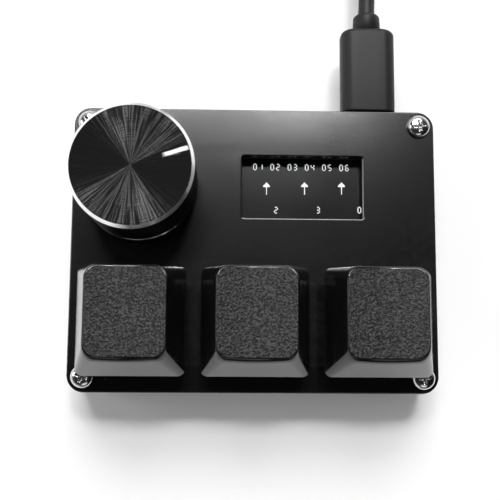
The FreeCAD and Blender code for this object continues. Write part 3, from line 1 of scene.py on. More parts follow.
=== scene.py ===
import json
import math
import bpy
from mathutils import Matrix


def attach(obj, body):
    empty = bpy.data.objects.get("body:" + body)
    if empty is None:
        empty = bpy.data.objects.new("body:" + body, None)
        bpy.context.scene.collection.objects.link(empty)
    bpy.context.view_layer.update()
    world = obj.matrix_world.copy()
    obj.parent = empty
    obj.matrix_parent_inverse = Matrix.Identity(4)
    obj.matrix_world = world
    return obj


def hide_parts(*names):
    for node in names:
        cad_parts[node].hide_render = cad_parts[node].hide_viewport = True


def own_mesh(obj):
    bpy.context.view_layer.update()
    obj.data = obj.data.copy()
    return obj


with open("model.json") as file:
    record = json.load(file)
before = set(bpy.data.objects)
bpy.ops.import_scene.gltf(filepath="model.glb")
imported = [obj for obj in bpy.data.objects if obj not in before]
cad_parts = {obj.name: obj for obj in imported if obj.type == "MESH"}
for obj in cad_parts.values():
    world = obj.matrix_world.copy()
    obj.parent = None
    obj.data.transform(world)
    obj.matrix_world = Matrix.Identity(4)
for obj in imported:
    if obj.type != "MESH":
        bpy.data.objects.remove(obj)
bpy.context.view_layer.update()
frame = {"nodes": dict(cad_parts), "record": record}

from types import SimpleNamespace as Sizes

import bmesh
import bpy
from mathutils import Matrix, Vector

# The macro keypad's looks: finishes for every part, detailed keycaps, screws and plug,
# the lit screen, the lead, and a plain studio. Metres, +X right, +Y away, +Z up.

# Tools for meshes

SAME_PLACE = 1e-7
# The angles past which an edge stays sharp: moulded, cut, plain, turned and sheet forms.
MOULDED_DEG, CUT_DEG, SHARP_DEG, TURNED_DEG, SHEET_DEG = 50, 40, 35, 25, 12


def link(name, data):
    """A new object at the origin."""
    obj = bpy.data.objects.new(name, data)
    bpy.context.scene.collection.objects.link(obj)
    return obj


def to_object(bm, name, smooth_deg=SHARP_DEG):
    """A bmesh as a new object, smooth but for its sharp edges, its normals outward."""
    bmesh.ops.remove_doubles(bm, verts=bm.verts, dist=SAME_PLACE)
    bmesh.ops.recalc_face_normals(bm, faces=bm.faces)
    mesh = bpy.data.meshes.new(name)
    bm.to_mesh(mesh)
    bm.free()
    mesh.shade_smooth()
    mesh.set_sharp_from_angle(angle=math.radians(smooth_deg))
    return link(name, mesh)


def apply_modifiers(obj):
    """Turns what the object shows into its own plain mesh."""
    bpy.context.view_layer.update()
    seen = obj.evaluated_get(bpy.context.evaluated_depsgraph_get())
    finished = bpy.data.meshes.new_from_object(seen)
    obj.modifiers.clear()
    obj.data = finished
    obj.data.name = obj.name


def dress(obj, body, slot, *nodes, finish=None):
    """A new piece: it rides on a body, stands for its nodes and gets its slot's finish."""
    obj.data.materials.clear()
    obj.data.materials.append(FINISH[finish or slot])
    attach(obj, body)
    if nodes:
        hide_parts(*nodes)
    return obj


def ring(bm, points):
    """One closed loop of vertices."""
    return [bm.verts.new(point) for point in points]


def skin(bm, loops):
    """Faces between loops of equal counts."""
    for lower, upper in zip(loops, loops[1:]):
        count = len(lower)
        for index in range(count):
            after = (index + 1) % count
            bm.faces.new((lower[index], lower[after], upper[after], upper[index]))


def closed_skin(bm, loops):
    """A solid through its loops, with a face on each end."""
    skin(bm, loops)
    bm.faces.new(loops[0])
    bm.faces.new(loops[-1])


def rounded_outline(width, depth, radius, middle=(0, 0), straight=8, arc=8):
    """Points round a rectangle with arcs at its corners."""
    corners = [(1, -1, -90), (1, 1, 0), (-1, 1, 90), (-1, -1, 180)]
    spots = []
    for side, end, start in corners:
        centre = Vector((side * (width / 2 - radius), end * (depth / 2 - radius)))
        for step in range(arc + 1):
            angle = math.radians(start + 90 * step / arc)
            spots.append(centre + Vector((math.cos(angle), math.sin(angle))) * radius)
    outline = []
    for index, spot in enumerate(spots):
        outline.append(spot)
        if index % (arc + 1) == arc:
            following = spots[(index + 1) % len(spots)]
            outline += [spot.lerp(following, step / straight) for step in range(1, straight)]
    return [spot + Vector(middle) for spot in outline]


def quarter(steps):
    """The sine and cosine at each even step of a quarter turn."""
    angles = [math.pi / 2 * step / steps for step in range(steps + 1)]
    return [(math.sin(angle), math.cos(angle)) for angle in angles]


def circle_outline(diameter, middle, sides=32):
    """Points round a circle."""
    angles = [2 * math.pi * side / sides for side in range(sides)]
    ways = [Vector((math.cos(angle), math.sin(angle))) for angle in angles]
    return [Vector(middle) + way * diameter / 2 for way in ways]


def lathe(profile, sides):
    """A turned solid about Z: its profile is (radius, height) from axis to axis."""
    bm = bmesh.new()
    angles = [2 * math.pi * side / sides for side in range(sides)]
    ways = [Vector((math.cos(angle), math.sin(angle), 0)) for angle in angles]
    loops = []
    for radius, high in profile:
        loops.append(ring(bm, [way * radius + Vector((0, 0, high)) for way in ways]))
    skin(bm, loops)
    return bm


def moved(bm, place, turn=None):
    """The bmesh turned about the origin, then put in its place."""
    if turn is not None:
        bmesh.ops.rotate(bm, verts=bm.verts, cent=(0, 0, 0), matrix=turn)
    bmesh.ops.translate(bm, verts=bm.verts, vec=place)
    return bm


def copies_tree():
    """Copies of one piece, one on each point, each turned about Z in its own way."""
    tree = bpy.data.node_groups.new("copies_on_points", "GeometryNodeTree")
    kinds = {
        "Points": "Geometry",
        "Piece": "Object",
        "Least Turn": "Float",
        "Most Turn": "Float",
        "Seed": "Int",
        "Material": "Material",
    }
    for label, kind in kinds.items():
        tree.interface.new_socket(label, in_out="INPUT", socket_type=f"NodeSocket{kind}")
    tree.interface.new_socket("Copies", in_out="OUTPUT", socket_type="NodeSocketGeometry")
    given = add_node(tree, "NodeGroupInput").outputs
    result = add_node(tree, "NodeGroupOutput").inputs
    piece = add_node(tree, "GeometryNodeObjectInfo", {"Object": given["Piece"]})
    stored = add_node(
        tree,
        "GeometryNodeStoreNamedAttribute",
        {
            "Geometry": piece.outputs["Geometry"],
            "Name": "own_place",
            "Value": add_node(tree, "GeometryNodeInputPosition").outputs[0],
        },
        data_type="FLOAT_VECTOR",
        domain="POINT",
    )
    turn = add_node(tree, "FunctionNodeRandomValue", {"Seed": given["Seed"]}, data_type="FLOAT")
    tree.links.new(given["Least Turn"], turn.inputs[2])
    tree.links.new(given["Most Turn"], turn.inputs[3])
    turned = add_node(tree, "ShaderNodeCombineXYZ", {"Z": turn.outputs[1]})
    placed = add_node(
        tree,
        "GeometryNodeInstanceOnPoints",
        {"Points": given["Points"], "Instance": stored.outputs[0], "Rotation": turned.outputs[0]},
    )
    real = add_node(tree, "GeometryNodeRealizeInstances", {"Geometry": placed.outputs[0]})
    finished = add_node(
        tree,
        "GeometryNodeSetMaterial",
        {"Geometry": real.outputs[0], "Material": given["Material"]},
    )
    tree.links.new(finished.outputs[0], result[0])
    return tree


def copied(name, piece, points, slot, turns=(0.0, 0.0), seed=0):
    """One mesh of a piece's copies on points."""
    spots = bpy.data.meshes.new(name)
    spots.from_pydata([tuple(point) for point in points], [], [])
    obj = link(name, spots)
    modifier = obj.modifiers.new("copies", "NODES")
    modifier.node_group = COPIES_ON_POINTS
    values = {
        "Piece": piece,
        "Least Turn": turns[0],
        "Most Turn": turns[1],
        "Seed": seed,
        "Material": FINISH[slot],
    }
    for item in COPIES_ON_POINTS.interface.items_tree:
        if item.name in values:
            modifier[item.identifier] = values[item.name]
    apply_modifiers(obj)
    bpy.data.objects.remove(piece)
    return obj


# Node tools

MID_GREY = (0.5, 0.5, 0.5, 1)
SOCKET_KINDS = {type(None): "Vector", float: "Float", tuple: "Color"}
NUMBER_RESULTS = ("LENGTH", "DOT_PRODUCT")
# Where a speck of dust ends in its cell, how rare specks are, and what lies flat enough.
SPECK_EDGE = (0.05, 0.11)
SPECK_CHANCE = 0.93
LYING_SLOPES = (0.3, 0.9)
DUST_COLOUR = (0.35, 0.34, 0.33, 1)
# What counts as an edge, how its wear comes in patches, and how large they are.
WORN_CURVES = (0.52, 0.62)
PATCH_SPAN, PATCH_SHADES = (0.35, 0.7), (0.2, 1.0)
PATCH_SCALE = 900.0


def add_node(tree, kind, inputs=None, **settings):
    """A node with its settings; each input is set, or linked when given a socket."""
    made = tree.nodes.new(kind)
    for name, value in settings.items():
        setattr(made, name, value)
    for key, value in (inputs or {}).items():
        if isinstance(value, bpy.types.NodeSocket):
            tree.links.new(value, made.inputs[key])
        else:
            made.inputs[key].default_value = value
    return made


def maths(tree, operation, *values, clamp=False):
    """The result of one sum; values are numbers or sockets."""
    inputs = dict(enumerate(values))
    made = add_node(tree, "ShaderNodeMath", inputs, operation=operation, use_clamp=clamp)
    return made.outputs[0]


def vectors(tree, operation, *values):
    """The result of one vector sum, which is a number for a length or a dot product."""
    inputs = dict(enumerate(values))
    made = add_node(tree, "ShaderNodeVectorMath", inputs, operation=operation)
    return made.outputs["Value" if operation in NUMBER_RESULTS else "Vector"]


def split(tree, vector):
    """A vector's three parts."""
    return add_node(tree, "ShaderNodeSeparateXYZ", {0: vector}).outputs


def mixed(tree, factor, first, second, blend="MIX"):
    """Two colours mixed by a factor."""
    settings = {"data_type": "RGBA", "blend_type": blend}
    inputs = {"Factor": factor, 6: first, 7: second}
    return add_node(tree, "ShaderNodeMix", inputs, **settings).outputs[2]


def ranged(tree, value, low, high, to_low=0.0, to_high=1.0, smooth=False):
    """A value moved from one range to another, and kept within it."""
    inputs = {0: value, 1: low, 2: high, 3: to_low, 4: to_high}
    kind = "SMOOTHSTEP" if smooth else "LINEAR"
    return add_node(tree, "ShaderNodeMapRange", inputs, interpolation_type=kind).outputs[0]


def noise(tree, vector, scale, **values):
    """A noise at a place, from 0 to 1."""
    inputs = {"Vector": vector, "Scale": scale, **values}
    return add_node(tree, "ShaderNodeTexNoise", inputs).outputs["Fac"]


def raised(tree, height, distance, **values):
    """A normal that follows a height."""
    inputs = {"Height": height, "Distance": distance, **values}
    return add_node(tree, "ShaderNodeBump", inputs).outputs[0]


def grey(tree, value):
    """A grey colour from one value."""
    return add_node(tree, "ShaderNodeCombineColor", {0: value, 1: value, 2: value}).outputs[0]


def carried(tree, name, output="Fac"):
    """A value that the mesh carries."""
    return add_node(tree, "ShaderNodeAttribute", attribute_name=name).outputs[output]


def facing_up(tree):
    """How far the surface faces up."""
    return split(tree, add_node(tree, "ShaderNodeNewGeometry").outputs["Normal"])[2]


def new_group(name, inputs, outputs):
    """An empty shader group, and its end nodes' sockets; an input with no value is a vector."""
    tree = bpy.data.node_groups.new(name, "ShaderNodeTree")
    for label, value in inputs.items():
        kind = f"NodeSocket{SOCKET_KINDS[type(value)]}"
        socket = tree.interface.new_socket(label, in_out="INPUT", socket_type=kind)
        if value is not None:
            socket.default_value = value
    for label, kind in outputs.items():
        tree.interface.new_socket(label, in_out="OUTPUT", socket_type=f"NodeSocket{kind}")
    given = add_node(tree, "NodeGroupInput").outputs
    return tree, given, add_node(tree, "NodeGroupOutput").inputs


def surface_group(name, **amounts):
    """A group that takes a surface's colour and roughness and puts out both, changed."""
    inputs = {"Vector": None, "Colour": MID_GREY, "Roughness": 0.5, **amounts}
    return new_group(name, inputs, {"Colour": "Color", "Roughness": "Float"})


def give(tree, result, values):
    """Links a group's outputs."""
    for label, socket in values.items():
        tree.links.new(socket, result[label])


def use_group(tree, group, inputs):
    """A group placed in a material; its outputs by name."""
    return add_node(tree, "ShaderNodeGroup", inputs, node_tree=group).outputs


def make_fine_grain():
    """Fine moulded or blasted grain: a bump, and the mask that it comes from."""
    inputs = {"Vector": None, "Size": 0.0001, "Depth": 0.00001, "Normal": None}
    outputs = {"Normal": "Vector", "Mask": "Float"}
    tree, given, result = new_group("fine_grain", inputs, outputs)
    density = maths(tree, "DIVIDE", 1.0, given["Size"])
    height = noise(tree, given["Vector"], density, Detail=2.0, Roughness=0.6)
    normal = raised(tree, height, given["Depth"], Normal=given["Normal"])
    give(tree, result, {"Normal": normal, "Mask": height})
    return tree


def make_shade_drift():
    """Slow variation of shade and gloss over a surface."""
    tree, given, result = surface_group("shade_drift", Size=0.01, Share=0.1)
    density = maths(tree, "DIVIDE", 1.0, given["Size"])
    slow = noise(tree, given["Vector"], density, Detail=3.0)
    swing = maths(tree, "MULTIPLY", maths(tree, "SUBTRACT", slow, 0.5), given["Share"])
    gain = maths(tree, "MULTIPLY_ADD", swing, 2.0, 1.0)
    shaded = mixed(tree, 1.0, given["Colour"], grey(tree, gain), "MULTIPLY")
    rough = maths(tree, "ADD", given["Roughness"], swing, clamp=True)
    give(tree, result, {"Colour": shaded, "Roughness": rough})
    return tree


def make_dust():
    """A few pale specks that lie on what faces up."""
    tree, given, result = surface_group("dust", Amount=0.0, Density=2600.0)
    inputs = {"Vector": given["Vector"], "Scale": given["Density"]}
    cells = add_node(tree, "ShaderNodeTexVoronoi", inputs).outputs
    near = ranged(tree, cells["Distance"], *SPECK_EDGE, 1.0, 0.0)
    chance = add_node(tree, "ShaderNodeSeparateColor", {0: cells["Color"]}).outputs[0]
    few = maths(tree, "GREATER_THAN", chance, SPECK_CHANCE)
    lying = ranged(tree, facing_up(tree), *LYING_SLOPES)
    speck = maths(tree, "MULTIPLY", maths(tree, "MULTIPLY", near, few), lying)
    speck = maths(tree, "MULTIPLY", speck, given["Amount"], clamp=True)
    dusted = mixed(tree, speck, given["Colour"], DUST_COLOUR)
    rough = maths(tree, "MULTIPLY_ADD", speck, 0.4, given["Roughness"], clamp=True)
    give(tree, result, {"Colour": dusted, "Roughness": rough})
    return tree


def make_edge_wear():
    """Rubbed edges: lighter and smoother where the surface turns outwards."""
    tree, given, result = surface_group("edge_wear", Worn=(0.6, 0.6, 0.6, 1), Amount=0.2)
    turned_out = add_node(tree, "ShaderNodeNewGeometry").outputs["Pointiness"]
    patchy = noise(tree, given["Vector"], PATCH_SCALE, Detail=3.0)
    patchy = ranged(tree, patchy, *PATCH_SPAN, *PATCH_SHADES)
    edge = ranged(tree, turned_out, *WORN_CURVES)
    worn = maths(tree, "MULTIPLY", maths(tree, "MULTIPLY", edge, patchy), given["Amount"], clamp=True)
    colour = mixed(tree, worn, given["Colour"], given["Worn"])
    rough = maths(tree, "MULTIPLY_ADD", worn, -0.3, given["Roughness"], clamp=True)
    give(tree, result, {"Colour": colour, "Roughness": rough})
    return tree


def make_turned_lines():
    """Concentric tool lines about the origin of its vector, and radial streaks."""
    inputs = {
        "Vector": None,
        "Pitch": 0.0001,
        "Depth": 0.000001,
        "Streaks": 60.0,
        "Change": 6.0,
        "Normal": None,
    }
    outputs = {"Normal": "Vector", "Rings": "Float", "Streak": "Float"}
    tree, given, result = new_group("turned_lines", inputs, outputs)
    parts = split(tree, given["Vector"])
    flat = add_node(tree, "ShaderNodeCombineXYZ", {0: parts[0], 1: parts[1]}).outputs[0]
    length = vectors(tree, "LENGTH", flat)
    inputs = {"W": maths(tree, "DIVIDE", length, given["Pitch"]), "Detail": 3.0, "Scale": 1.0}
    rings = add_node(tree, "ShaderNodeTexNoise", inputs, noise_dimensions="1D").outputs["Fac"]
    ways = split(tree, vectors(tree, "NORMALIZE", flat))
    spot = {0: ways[0], 1: ways[1], 2: maths(tree, "MULTIPLY", length, given["Change"])}
    around = add_node(tree, "ShaderNodeCombineXYZ", spot).outputs[0]
    streak = noise(tree, around, given["Streaks"], Detail=3.0, Roughness=0.65)
    normal = raised(tree, rings, given["Depth"], Normal=given["Normal"])
    give(tree, result, {"Normal": normal, "Rings": rings, "Streak": streak})
    return tree


def make_weave():
    """Crossed threads: a height for a bump and a shade for the colour."""
    inputs = {"Vector": None, "Thread": 0.0004}
    tree, given, result = new_group("weave", inputs, {"Height": "Float", "Shade": "Float"})
    turns = maths(tree, "DIVIDE", math.pi, given["Thread"])
    parts = split(tree, given["Vector"])
    waves = [maths(tree, "SINE", maths(tree, "MULTIPLY", parts[axis], turns)) for axis in (0, 1)]
    crossed = maths(tree, "MULTIPLY", *waves)
    shade = ranged(tree, crossed, -1.0, 1.0, 0.75, 1.15)
    give(tree, result, {"Height": maths(tree, "ABSOLUTE", crossed), "Shade": shade})
    return tree


COPIES_ON_POINTS = copies_tree()
FINE_GRAIN = make_fine_grain()
SHADE_DRIFT = make_shade_drift()
DUST = make_dust()
EDGE_WEAR = make_edge_wear()
TURNED_LINES = make_turned_lines()
WEAVE = make_weave()


# Finishes

MICRON = 1e-6
WORN_SHADE = (0.2, 0.2, 0.2, 1)
PLATE_BLACK = (0.002, 0.002, 0.0022, 1)
PLATE_GLOSS = 0.9
# The plate's roughness where it is coated and where it is bare, and the bare metal: bare only on the
# window's right wall, a painted highlight on the side the light falls on.
COATED_ROUGHNESS, HIGHLIGHT_WALL_ROUGHNESS = 0.17, 0.6
PAINTED_HIGHLIGHT_METAL = (0.75, 0.75, 0.75, 1)
# The caps' walls are darker than their tops: painted shade on the walls of the same plastic.
SHADED_WALL_BLACK = (0.006, 0.006, 0.0065, 1)
CAP_TOP_BLACK = (0.016, 0.016, 0.017, 1)
CAP_GRAIN = 360 * MICRON
WALL_GRAIN_DEPTH, TOP_GRAIN_DEPTH = 4 * MICRON, 300 * MICRON
WALL_GLOSS = -0.33
# The heights of a cap's grain where its speckle starts and ends, and its full strength.
SPECKLE_HEIGHTS, SPECKLE_STRENGTH = (0.44, 0.62), 3.6
MASK_GREENS = ((0.008, 0.03, 0.02, 1), (0.015, 0.06, 0.035, 1))
HOLE_COPPER = (0.75, 0.6, 0.3, 1)
# The board's cells, the tracks round each, and the bare hole in its middle.
BOARD_CELLS, CELL_TRACKS = 420.0, 30.0
TRACK_SPAN, HOLE_SPAN = (0.1, 0.4), (0.06, 0.08)
TRACK_RISE = 20 * MICRON
TRACK_PITCH = 0.0008
FILM_AMBERS = ((0.3, 0.13, 0.02, 1), (0.62, 0.3, 0.08, 1))
SIDE_BLACK = (0.02, 0.02, 0.021, 1)
BEVEL_BRIGHT = (0.9, 0.9, 0.9, 1)
# The face's radial streaks and its rings: the noise they use, and its shades.
STREAK_SPAN, SPUN_SHADES = (0.42, 0.64), (0.0005, 0.037)
RING_SPAN, RING_SHADES = (0.4, 0.6), (0.55, 1.45)
# The slopes at which the knob's bevel and its face begin, and their ends of blending.
BEVEL_SLOPES, FACE_SLOPES = (0.3, 0.5), (0.9, 0.96)
SIDE_ROUGHNESS, FACE_ROUGHNESS = 0.4, 0.16
KNOB_CENTRE = (-0.0201, 0.0110, 0.0292)
SOILED_SPAN, SOILED_SHADES = (0.3, 0.7), (0.75, 1.0)
GLASS_BLACK = (0.004, 0.004, 0.005, 1)
GLASS_HAZE = 0.19
DOT_WHITES = ((0.75, 0.79, 0.82, 1), (0.97, 0.99, 1.0, 1))
FABRIC_BLACK = (0.03, 0.03, 0.032, 1)


def new_material(name, plain):
    """A material with its tree and shader; plain values go on the shader's own sockets."""
    material = bpy.data.materials.new(name)
    material.use_nodes = True
    tree = material.node_tree
    shader = tree.nodes["Principled BSDF"]
    for label, value in plain.items():
        shader.inputs[label].default_value = value
    return material, tree, shader


def feed(tree, shader, values):
    """Links values to the shader."""
    for label, socket in values.items():
        tree.links.new(socket, shader.inputs[label])


def show(tree, shader, seen, **more):
    """Links a surface's colour and roughness to the shader, and what else is given."""
    feed(tree, shader, {"Base Color": seen["Colour"], "Roughness": seen["Roughness"], **more})


def object_vector(tree, centre=(0, 0, 0)):
    """Object coordinates from a centre."""
    coordinates = add_node(tree, "ShaderNodeTexCoord").outputs["Object"]
    inputs = {"Vector": coordinates, "Location": centre}
    return add_node(tree, "ShaderNodeMapping", inputs, vector_type="TEXTURE").outputs[0]


def surface(tree, vector, colour, roughness, drift=0.1, dust=0.0, wear=0.0):
    """Colour and roughness with slow variation, rubbed edges and dust."""
    seen = {"Colour": colour, "Roughness": roughness}
    effects = [
        (SHADE_DRIFT, {"Share": drift}),
        (EDGE_WEAR, {"Worn": WORN_SHADE, "Amount": wear}),
        (DUST, {"Amount": dust}),
    ]
    for group, amounts in effects:
        changed = use_group(tree, group, {"Vector": vector, **seen, **amounts})
        seen = {label: changed[label] for label in seen}
    return seen


def grained(tree, vector, size, depth):
    """A normal with fine grain."""
    inputs = {"Vector": vector, "Size": size, "Depth": depth}
    return use_group(tree, FINE_GRAIN, inputs)["Normal"]


def finish(name, colour, roughness, grain, depth, plain=None, **effects):
    """A solid finish with slow variation, wear and dust; its grain is in micrometres."""
    material, tree, shader = new_material(name, plain or {})
    vector = object_vector(tree)
    seen = surface(tree, vector, (*colour, 1), roughness, **effects)
    normal = grained(tree, vector, grain * MICRON, depth * MICRON)
    show(tree, shader, seen, Normal=normal)
    return material


def metal(name, colour, roughness, grain=200, depth=1):
    """A bare or plated metal."""
    return finish(name, colour, roughness, grain, depth, {"Metallic": 1.0}, drift=0.06)


def plate_black(name):
    """Fine-blasted black coat on the face plate, with pale bare metal on the window's right wall only:
    a painted highlight.
    """
    material, tree, shader = new_material(name, {"Specular IOR Level": PLATE_GLOSS})
    vector = object_vector(tree)
    # The "bare" mark paints the window's right wall pale: a painted highlight.
    bare = carried(tree, "bare")
    colour = mixed(tree, bare, PLATE_BLACK, PAINTED_HIGHLIGHT_METAL)
    rough = ranged(tree, bare, 0.0, 1.0, COATED_ROUGHNESS, HIGHLIGHT_WALL_ROUGHNESS)
    seen = surface(tree, vector, colour, rough, drift=0.03, dust=0.5, wear=0.08)
    show(tree, shader, seen, Normal=grained(tree, vector, 120 * MICRON, 3 * MICRON))
    return material


def case_black(name):
    """The case's fine-textured moulding."""
    colour = (0.016, 0.016, 0.017)
    return finish(name, colour, roughness=0.5, grain=250, depth=20, drift=0.08, dust=0.2, wear=0.15)


def foot_rubber(name):
    """Soft black rubber, greyed by handling."""
    colour = (0.028, 0.028, 0.028)
    return finish(name, colour, roughness=0.8, grain=150, depth=10, drift=0.15, dust=0.3)


def insert_brass(name):
    """Turned brass."""
    return metal(name, (0.72, 0.53, 0.23), roughness=0.3)


def chip_black(name):
    """Moulded packages."""
    return finish(name, (0.025, 0.025, 0.026), roughness=0.6, grain=80, depth=8)


def can_steel(name):
    """The crystal's plated can."""
    return metal(name, (0.6, 0.6, 0.58), roughness=0.28)


def capacitor_tan(name):
    """Fired ceramic."""
    return finish(name, (0.42, 0.3, 0.18), roughness=0.5, grain=100, depth=3, drift=0.15)


def light_white(name):
    """Milky tops of the lights."""
    return finish(name, (0.85, 0.85, 0.8), roughness=0.3, grain=200, depth=1, drift=0.05)


def switch_black(name):
    """The switches' lower moulding."""
    return finish(name, (0.02, 0.02, 0.022), roughness=0.5, grain=200, depth=8, dust=0.2, wear=0.1)


def switch_clear_grey(name):
    """The switches' smoky upper moulding."""
    plain = {"Coat Weight": 0.3}
    return finish(name, (0.05, 0.05, 0.055), roughness=0.25, grain=400, depth=3, plain=plain, dust=0.2)


def stem_plastic(name):
    """The slider's smooth moulding."""
    return finish(name, (0.08, 0.08, 0.085), roughness=0.3, grain=400, depth=2)


def magnet_nickel(name):
    """Nickel plate."""
    return metal(name, (0.65, 0.64, 0.6), roughness=0.16)


def spring_steel(name):
    """Drawn wire."""
    return metal(name, (0.55, 0.55, 0.55), roughness=0.3)


def encoder_plastic(name):
    """The encoder's filled moulding."""
    return finish(name, (0.04, 0.04, 0.04), roughness=0.5, grain=200, depth=6)


def encoder_zinc(name):
    """Die-cast zinc."""
    return metal(name, (0.55, 0.55, 0.54), roughness=0.42, grain=300, depth=6)


def clip_steel(name):
    """Pressed sheet."""
    return metal(name, (0.6, 0.6, 0.6), roughness=0.32)


def pin_tin(name):
    """Tinned pins."""
    return metal(name, (0.68, 0.68, 0.66), roughness=0.35)


def core_plastic(name):
    """The knob's moulded core."""
    return finish(name, (0.03, 0.03, 0.03), roughness=0.5, grain=300, depth=6)


def tape_white(name):
    """Foam tape."""
    return finish(name, (0.75, 0.75, 0.72), roughness=0.8, grain=200, depth=20, drift=0.08)


def gasket_foam(name):
    """Open-celled black foam."""
    return finish(name, (0.012, 0.012, 0.012), roughness=0.9, grain=200, depth=40, drift=0.15)


def index_paint(name):
    """White enamel in the knob's groove."""
    return finish(name, (0.87, 0.87, 0.86), roughness=0.35, grain=100, depth=3, drift=0.04)


def socket_steel(name):
    """The plated shells of the socket and plugs."""
    return metal(name, (0.62, 0.62, 0.61), roughness=0.26)


def contact_plastic(name):
    """The contacts' carrier."""
    return finish(name, (0.02, 0.02, 0.02), roughness=0.4, grain=200, depth=3)


def lead_jacket(name):
    """The lead's soft matt jacket, and the moulded plug body of the same stuff."""
    colour, plain = (0.011, 0.011, 0.0115), {"Specular IOR Level": 0.35}
    effects = {"drift": 0.1, "dust": 0.3, "wear": 0.1}
    return finish(name, colour, roughness=0.5, grain=300, depth=12, plain=plain, **effects)


def keycap_black(name):
    """Black caps: a coarse speckled grain on the dished tops, smooth walls painted darker as shade,
    rubbed rims.
    """
    material, tree, shader = new_material(name, {"Specular IOR Level": 0.42})
    vector = object_vector(tree)
    on_top = carried(tree, "on_top")
    depth = ranged(tree, on_top, 0.0, 1.0, WALL_GRAIN_DEPTH, TOP_GRAIN_DEPTH)
    inputs = {"Vector": vector, "Size": CAP_GRAIN, "Depth": depth}
    bumped = use_group(tree, FINE_GRAIN, inputs)
    lifted = ranged(tree, bumped["Mask"], *SPECKLE_HEIGHTS, 0.0, SPECKLE_STRENGTH)
    speckled = mixed(tree, 1.0, CAP_TOP_BLACK, grey(tree, lifted), "MULTIPLY")
    # The walls get a darker black than the tops: painted shade.
    colour = mixed(tree, on_top, SHADED_WALL_BLACK, speckled)
    seen = surface(tree, vector, colour, 0.45, drift=0.06, dust=0.4, wear=0.12)
    rough = maths(tree, "ADD", seen["Roughness"], ranged(tree, on_top, 0, 1, WALL_GLOSS, 0.0))
    show(tree, shader, seen, Roughness=rough, Normal=bumped["Normal"])
    return material


def board_laminate(name):
    """Solder mask over copper: tracks as a faint raised maze, with plated holes."""
    material, tree, shader = new_material(name, {"Coat Weight": 0.4})
    vector = object_vector(tree)
    inputs = {"Vector": vector, "Scale": BOARD_CELLS}
    cells = add_node(tree, "ShaderNodeTexVoronoi", inputs, distance="MANHATTAN").outputs
    tracks = maths(tree, "SINE", maths(tree, "MULTIPLY", cells["Distance"], CELL_TRACKS))
    track = ranged(tree, tracks, *TRACK_SPAN)
    colour = mixed(tree, track, *MASK_GREENS)
    seen = surface(tree, vector, colour, 0.35, drift=0.08, dust=0.2)
    hole = ranged(tree, cells["Distance"], *HOLE_SPAN, 1.0, 0.0)
    seen["Colour"] = mixed(tree, hole, seen["Colour"], HOLE_COPPER)
    show(tree, shader, seen, Metallic=hole, Normal=raised(tree, track, TRACK_RISE))
    return material


def screw_steel(name):
    """Bright plated heads, with the ring marks of their turning."""
    material, tree, shader = new_material(name, {"Metallic": 1.0})
    place = carried(tree, "own_place", "Vector")
    inputs = {"Vector": place, "Pitch": 90 * MICRON, "Depth": 4 * MICRON}
    lines = use_group(tree, TURNED_LINES, inputs)
    seen = surface(tree, object_vector(tree), (0.72, 0.72, 0.71, 1), 0.17, drift=0.06, dust=0.3)
    soiled = grey(tree, ranged(tree, lines["Rings"], *SOILED_SPAN, *SOILED_SHADES))
    seen["Colour"] = mixed(tree, 1.0, seen["Colour"], soiled, "MULTIPLY")
    show(tree, shader, seen, Normal=lines["Normal"])
    return material


def knob_aluminium(name):
    """One turned part: satin black side, bright cut bevel, spun dark face."""
    plain = {"Metallic": 1.0, "Anisotropic": 1.0, "Coat Weight": 0.11, "Coat Roughness": 0.4}
    material, tree, shader = new_material(name, plain)
    vector = object_vector(tree, KNOB_CENTRE)
    inputs = {"Vector": vector, "Pitch": 170 * MICRON, "Depth": 0.8 * MICRON, "Streaks": 24.0}
    lines = use_group(tree, TURNED_LINES, inputs)
    up = facing_up(tree)
    face = ranged(tree, up, *FACE_SLOPES)
    sloped = ranged(tree, up, *BEVEL_SLOPES)
    streaked = ranged(tree, lines["Streak"], *STREAK_SPAN, *SPUN_SHADES)
    ringed = ranged(tree, lines["Rings"], *RING_SPAN, *RING_SHADES)
    spun = grey(tree, maths(tree, "MULTIPLY", streaked, ringed))
    bright = mixed(tree, face, BEVEL_BRIGHT, spun)
    seen = {
        "Colour": mixed(tree, sloped, SIDE_BLACK, bright),
        "Roughness": ranged(tree, sloped, 0.0, 1.0, SIDE_ROUGHNESS, FACE_ROUGHNESS),
    }
    normal = add_node(tree, "ShaderNodeNewGeometry").outputs["Normal"]
    around = vectors(tree, "CROSS_PRODUCT", (0, 0, 1), vector)
    across = vectors(tree, "CROSS_PRODUCT", around, normal)
    show(tree, shader, seen, Normal=lines["Normal"], Tangent=across)
    return material


def screen_glass(name):
    """Dark glass over the screen, with the faintest haze."""
    material, tree, shader = new_material(name, {"Specular IOR Level": 0.5})
    seen = surface(tree, object_vector(tree), GLASS_BLACK, GLASS_HAZE, drift=0.05, dust=0.3)
    show(tree, shader, seen)
    return material


def screen_light(name):
    """Lit screen dots."""
    plain = {"Roughness": 0.4, "Emission Strength": 1.0, "Specular IOR Level": 0.0}
    material, tree, shader = new_material(name, plain)
    uneven = noise(tree, object_vector(tree), 900.0)
    colour = mixed(tree, uneven, *DOT_WHITES)
    feed(tree, shader, {"Emission Color": colour, "Base Color": grey(tree, uneven)})
    return material


def ribbon_amber(name):
    """Copper tracks under amber film."""
    material, tree, shader = new_material(name, {"Coat Weight": 0.5})
    vector = object_vector(tree)
    turned = maths(tree, "MULTIPLY", split(tree, vector)[0], 2 * math.pi / TRACK_PITCH)
    track = ranged(tree, maths(tree, "SINE", turned), -0.1, 0.1)
    seen = surface(tree, vector, mixed(tree, track, *FILM_AMBERS), 0.3)
    show(tree, shader, seen, Normal=raised(tree, track, TRACK_RISE))
    return material


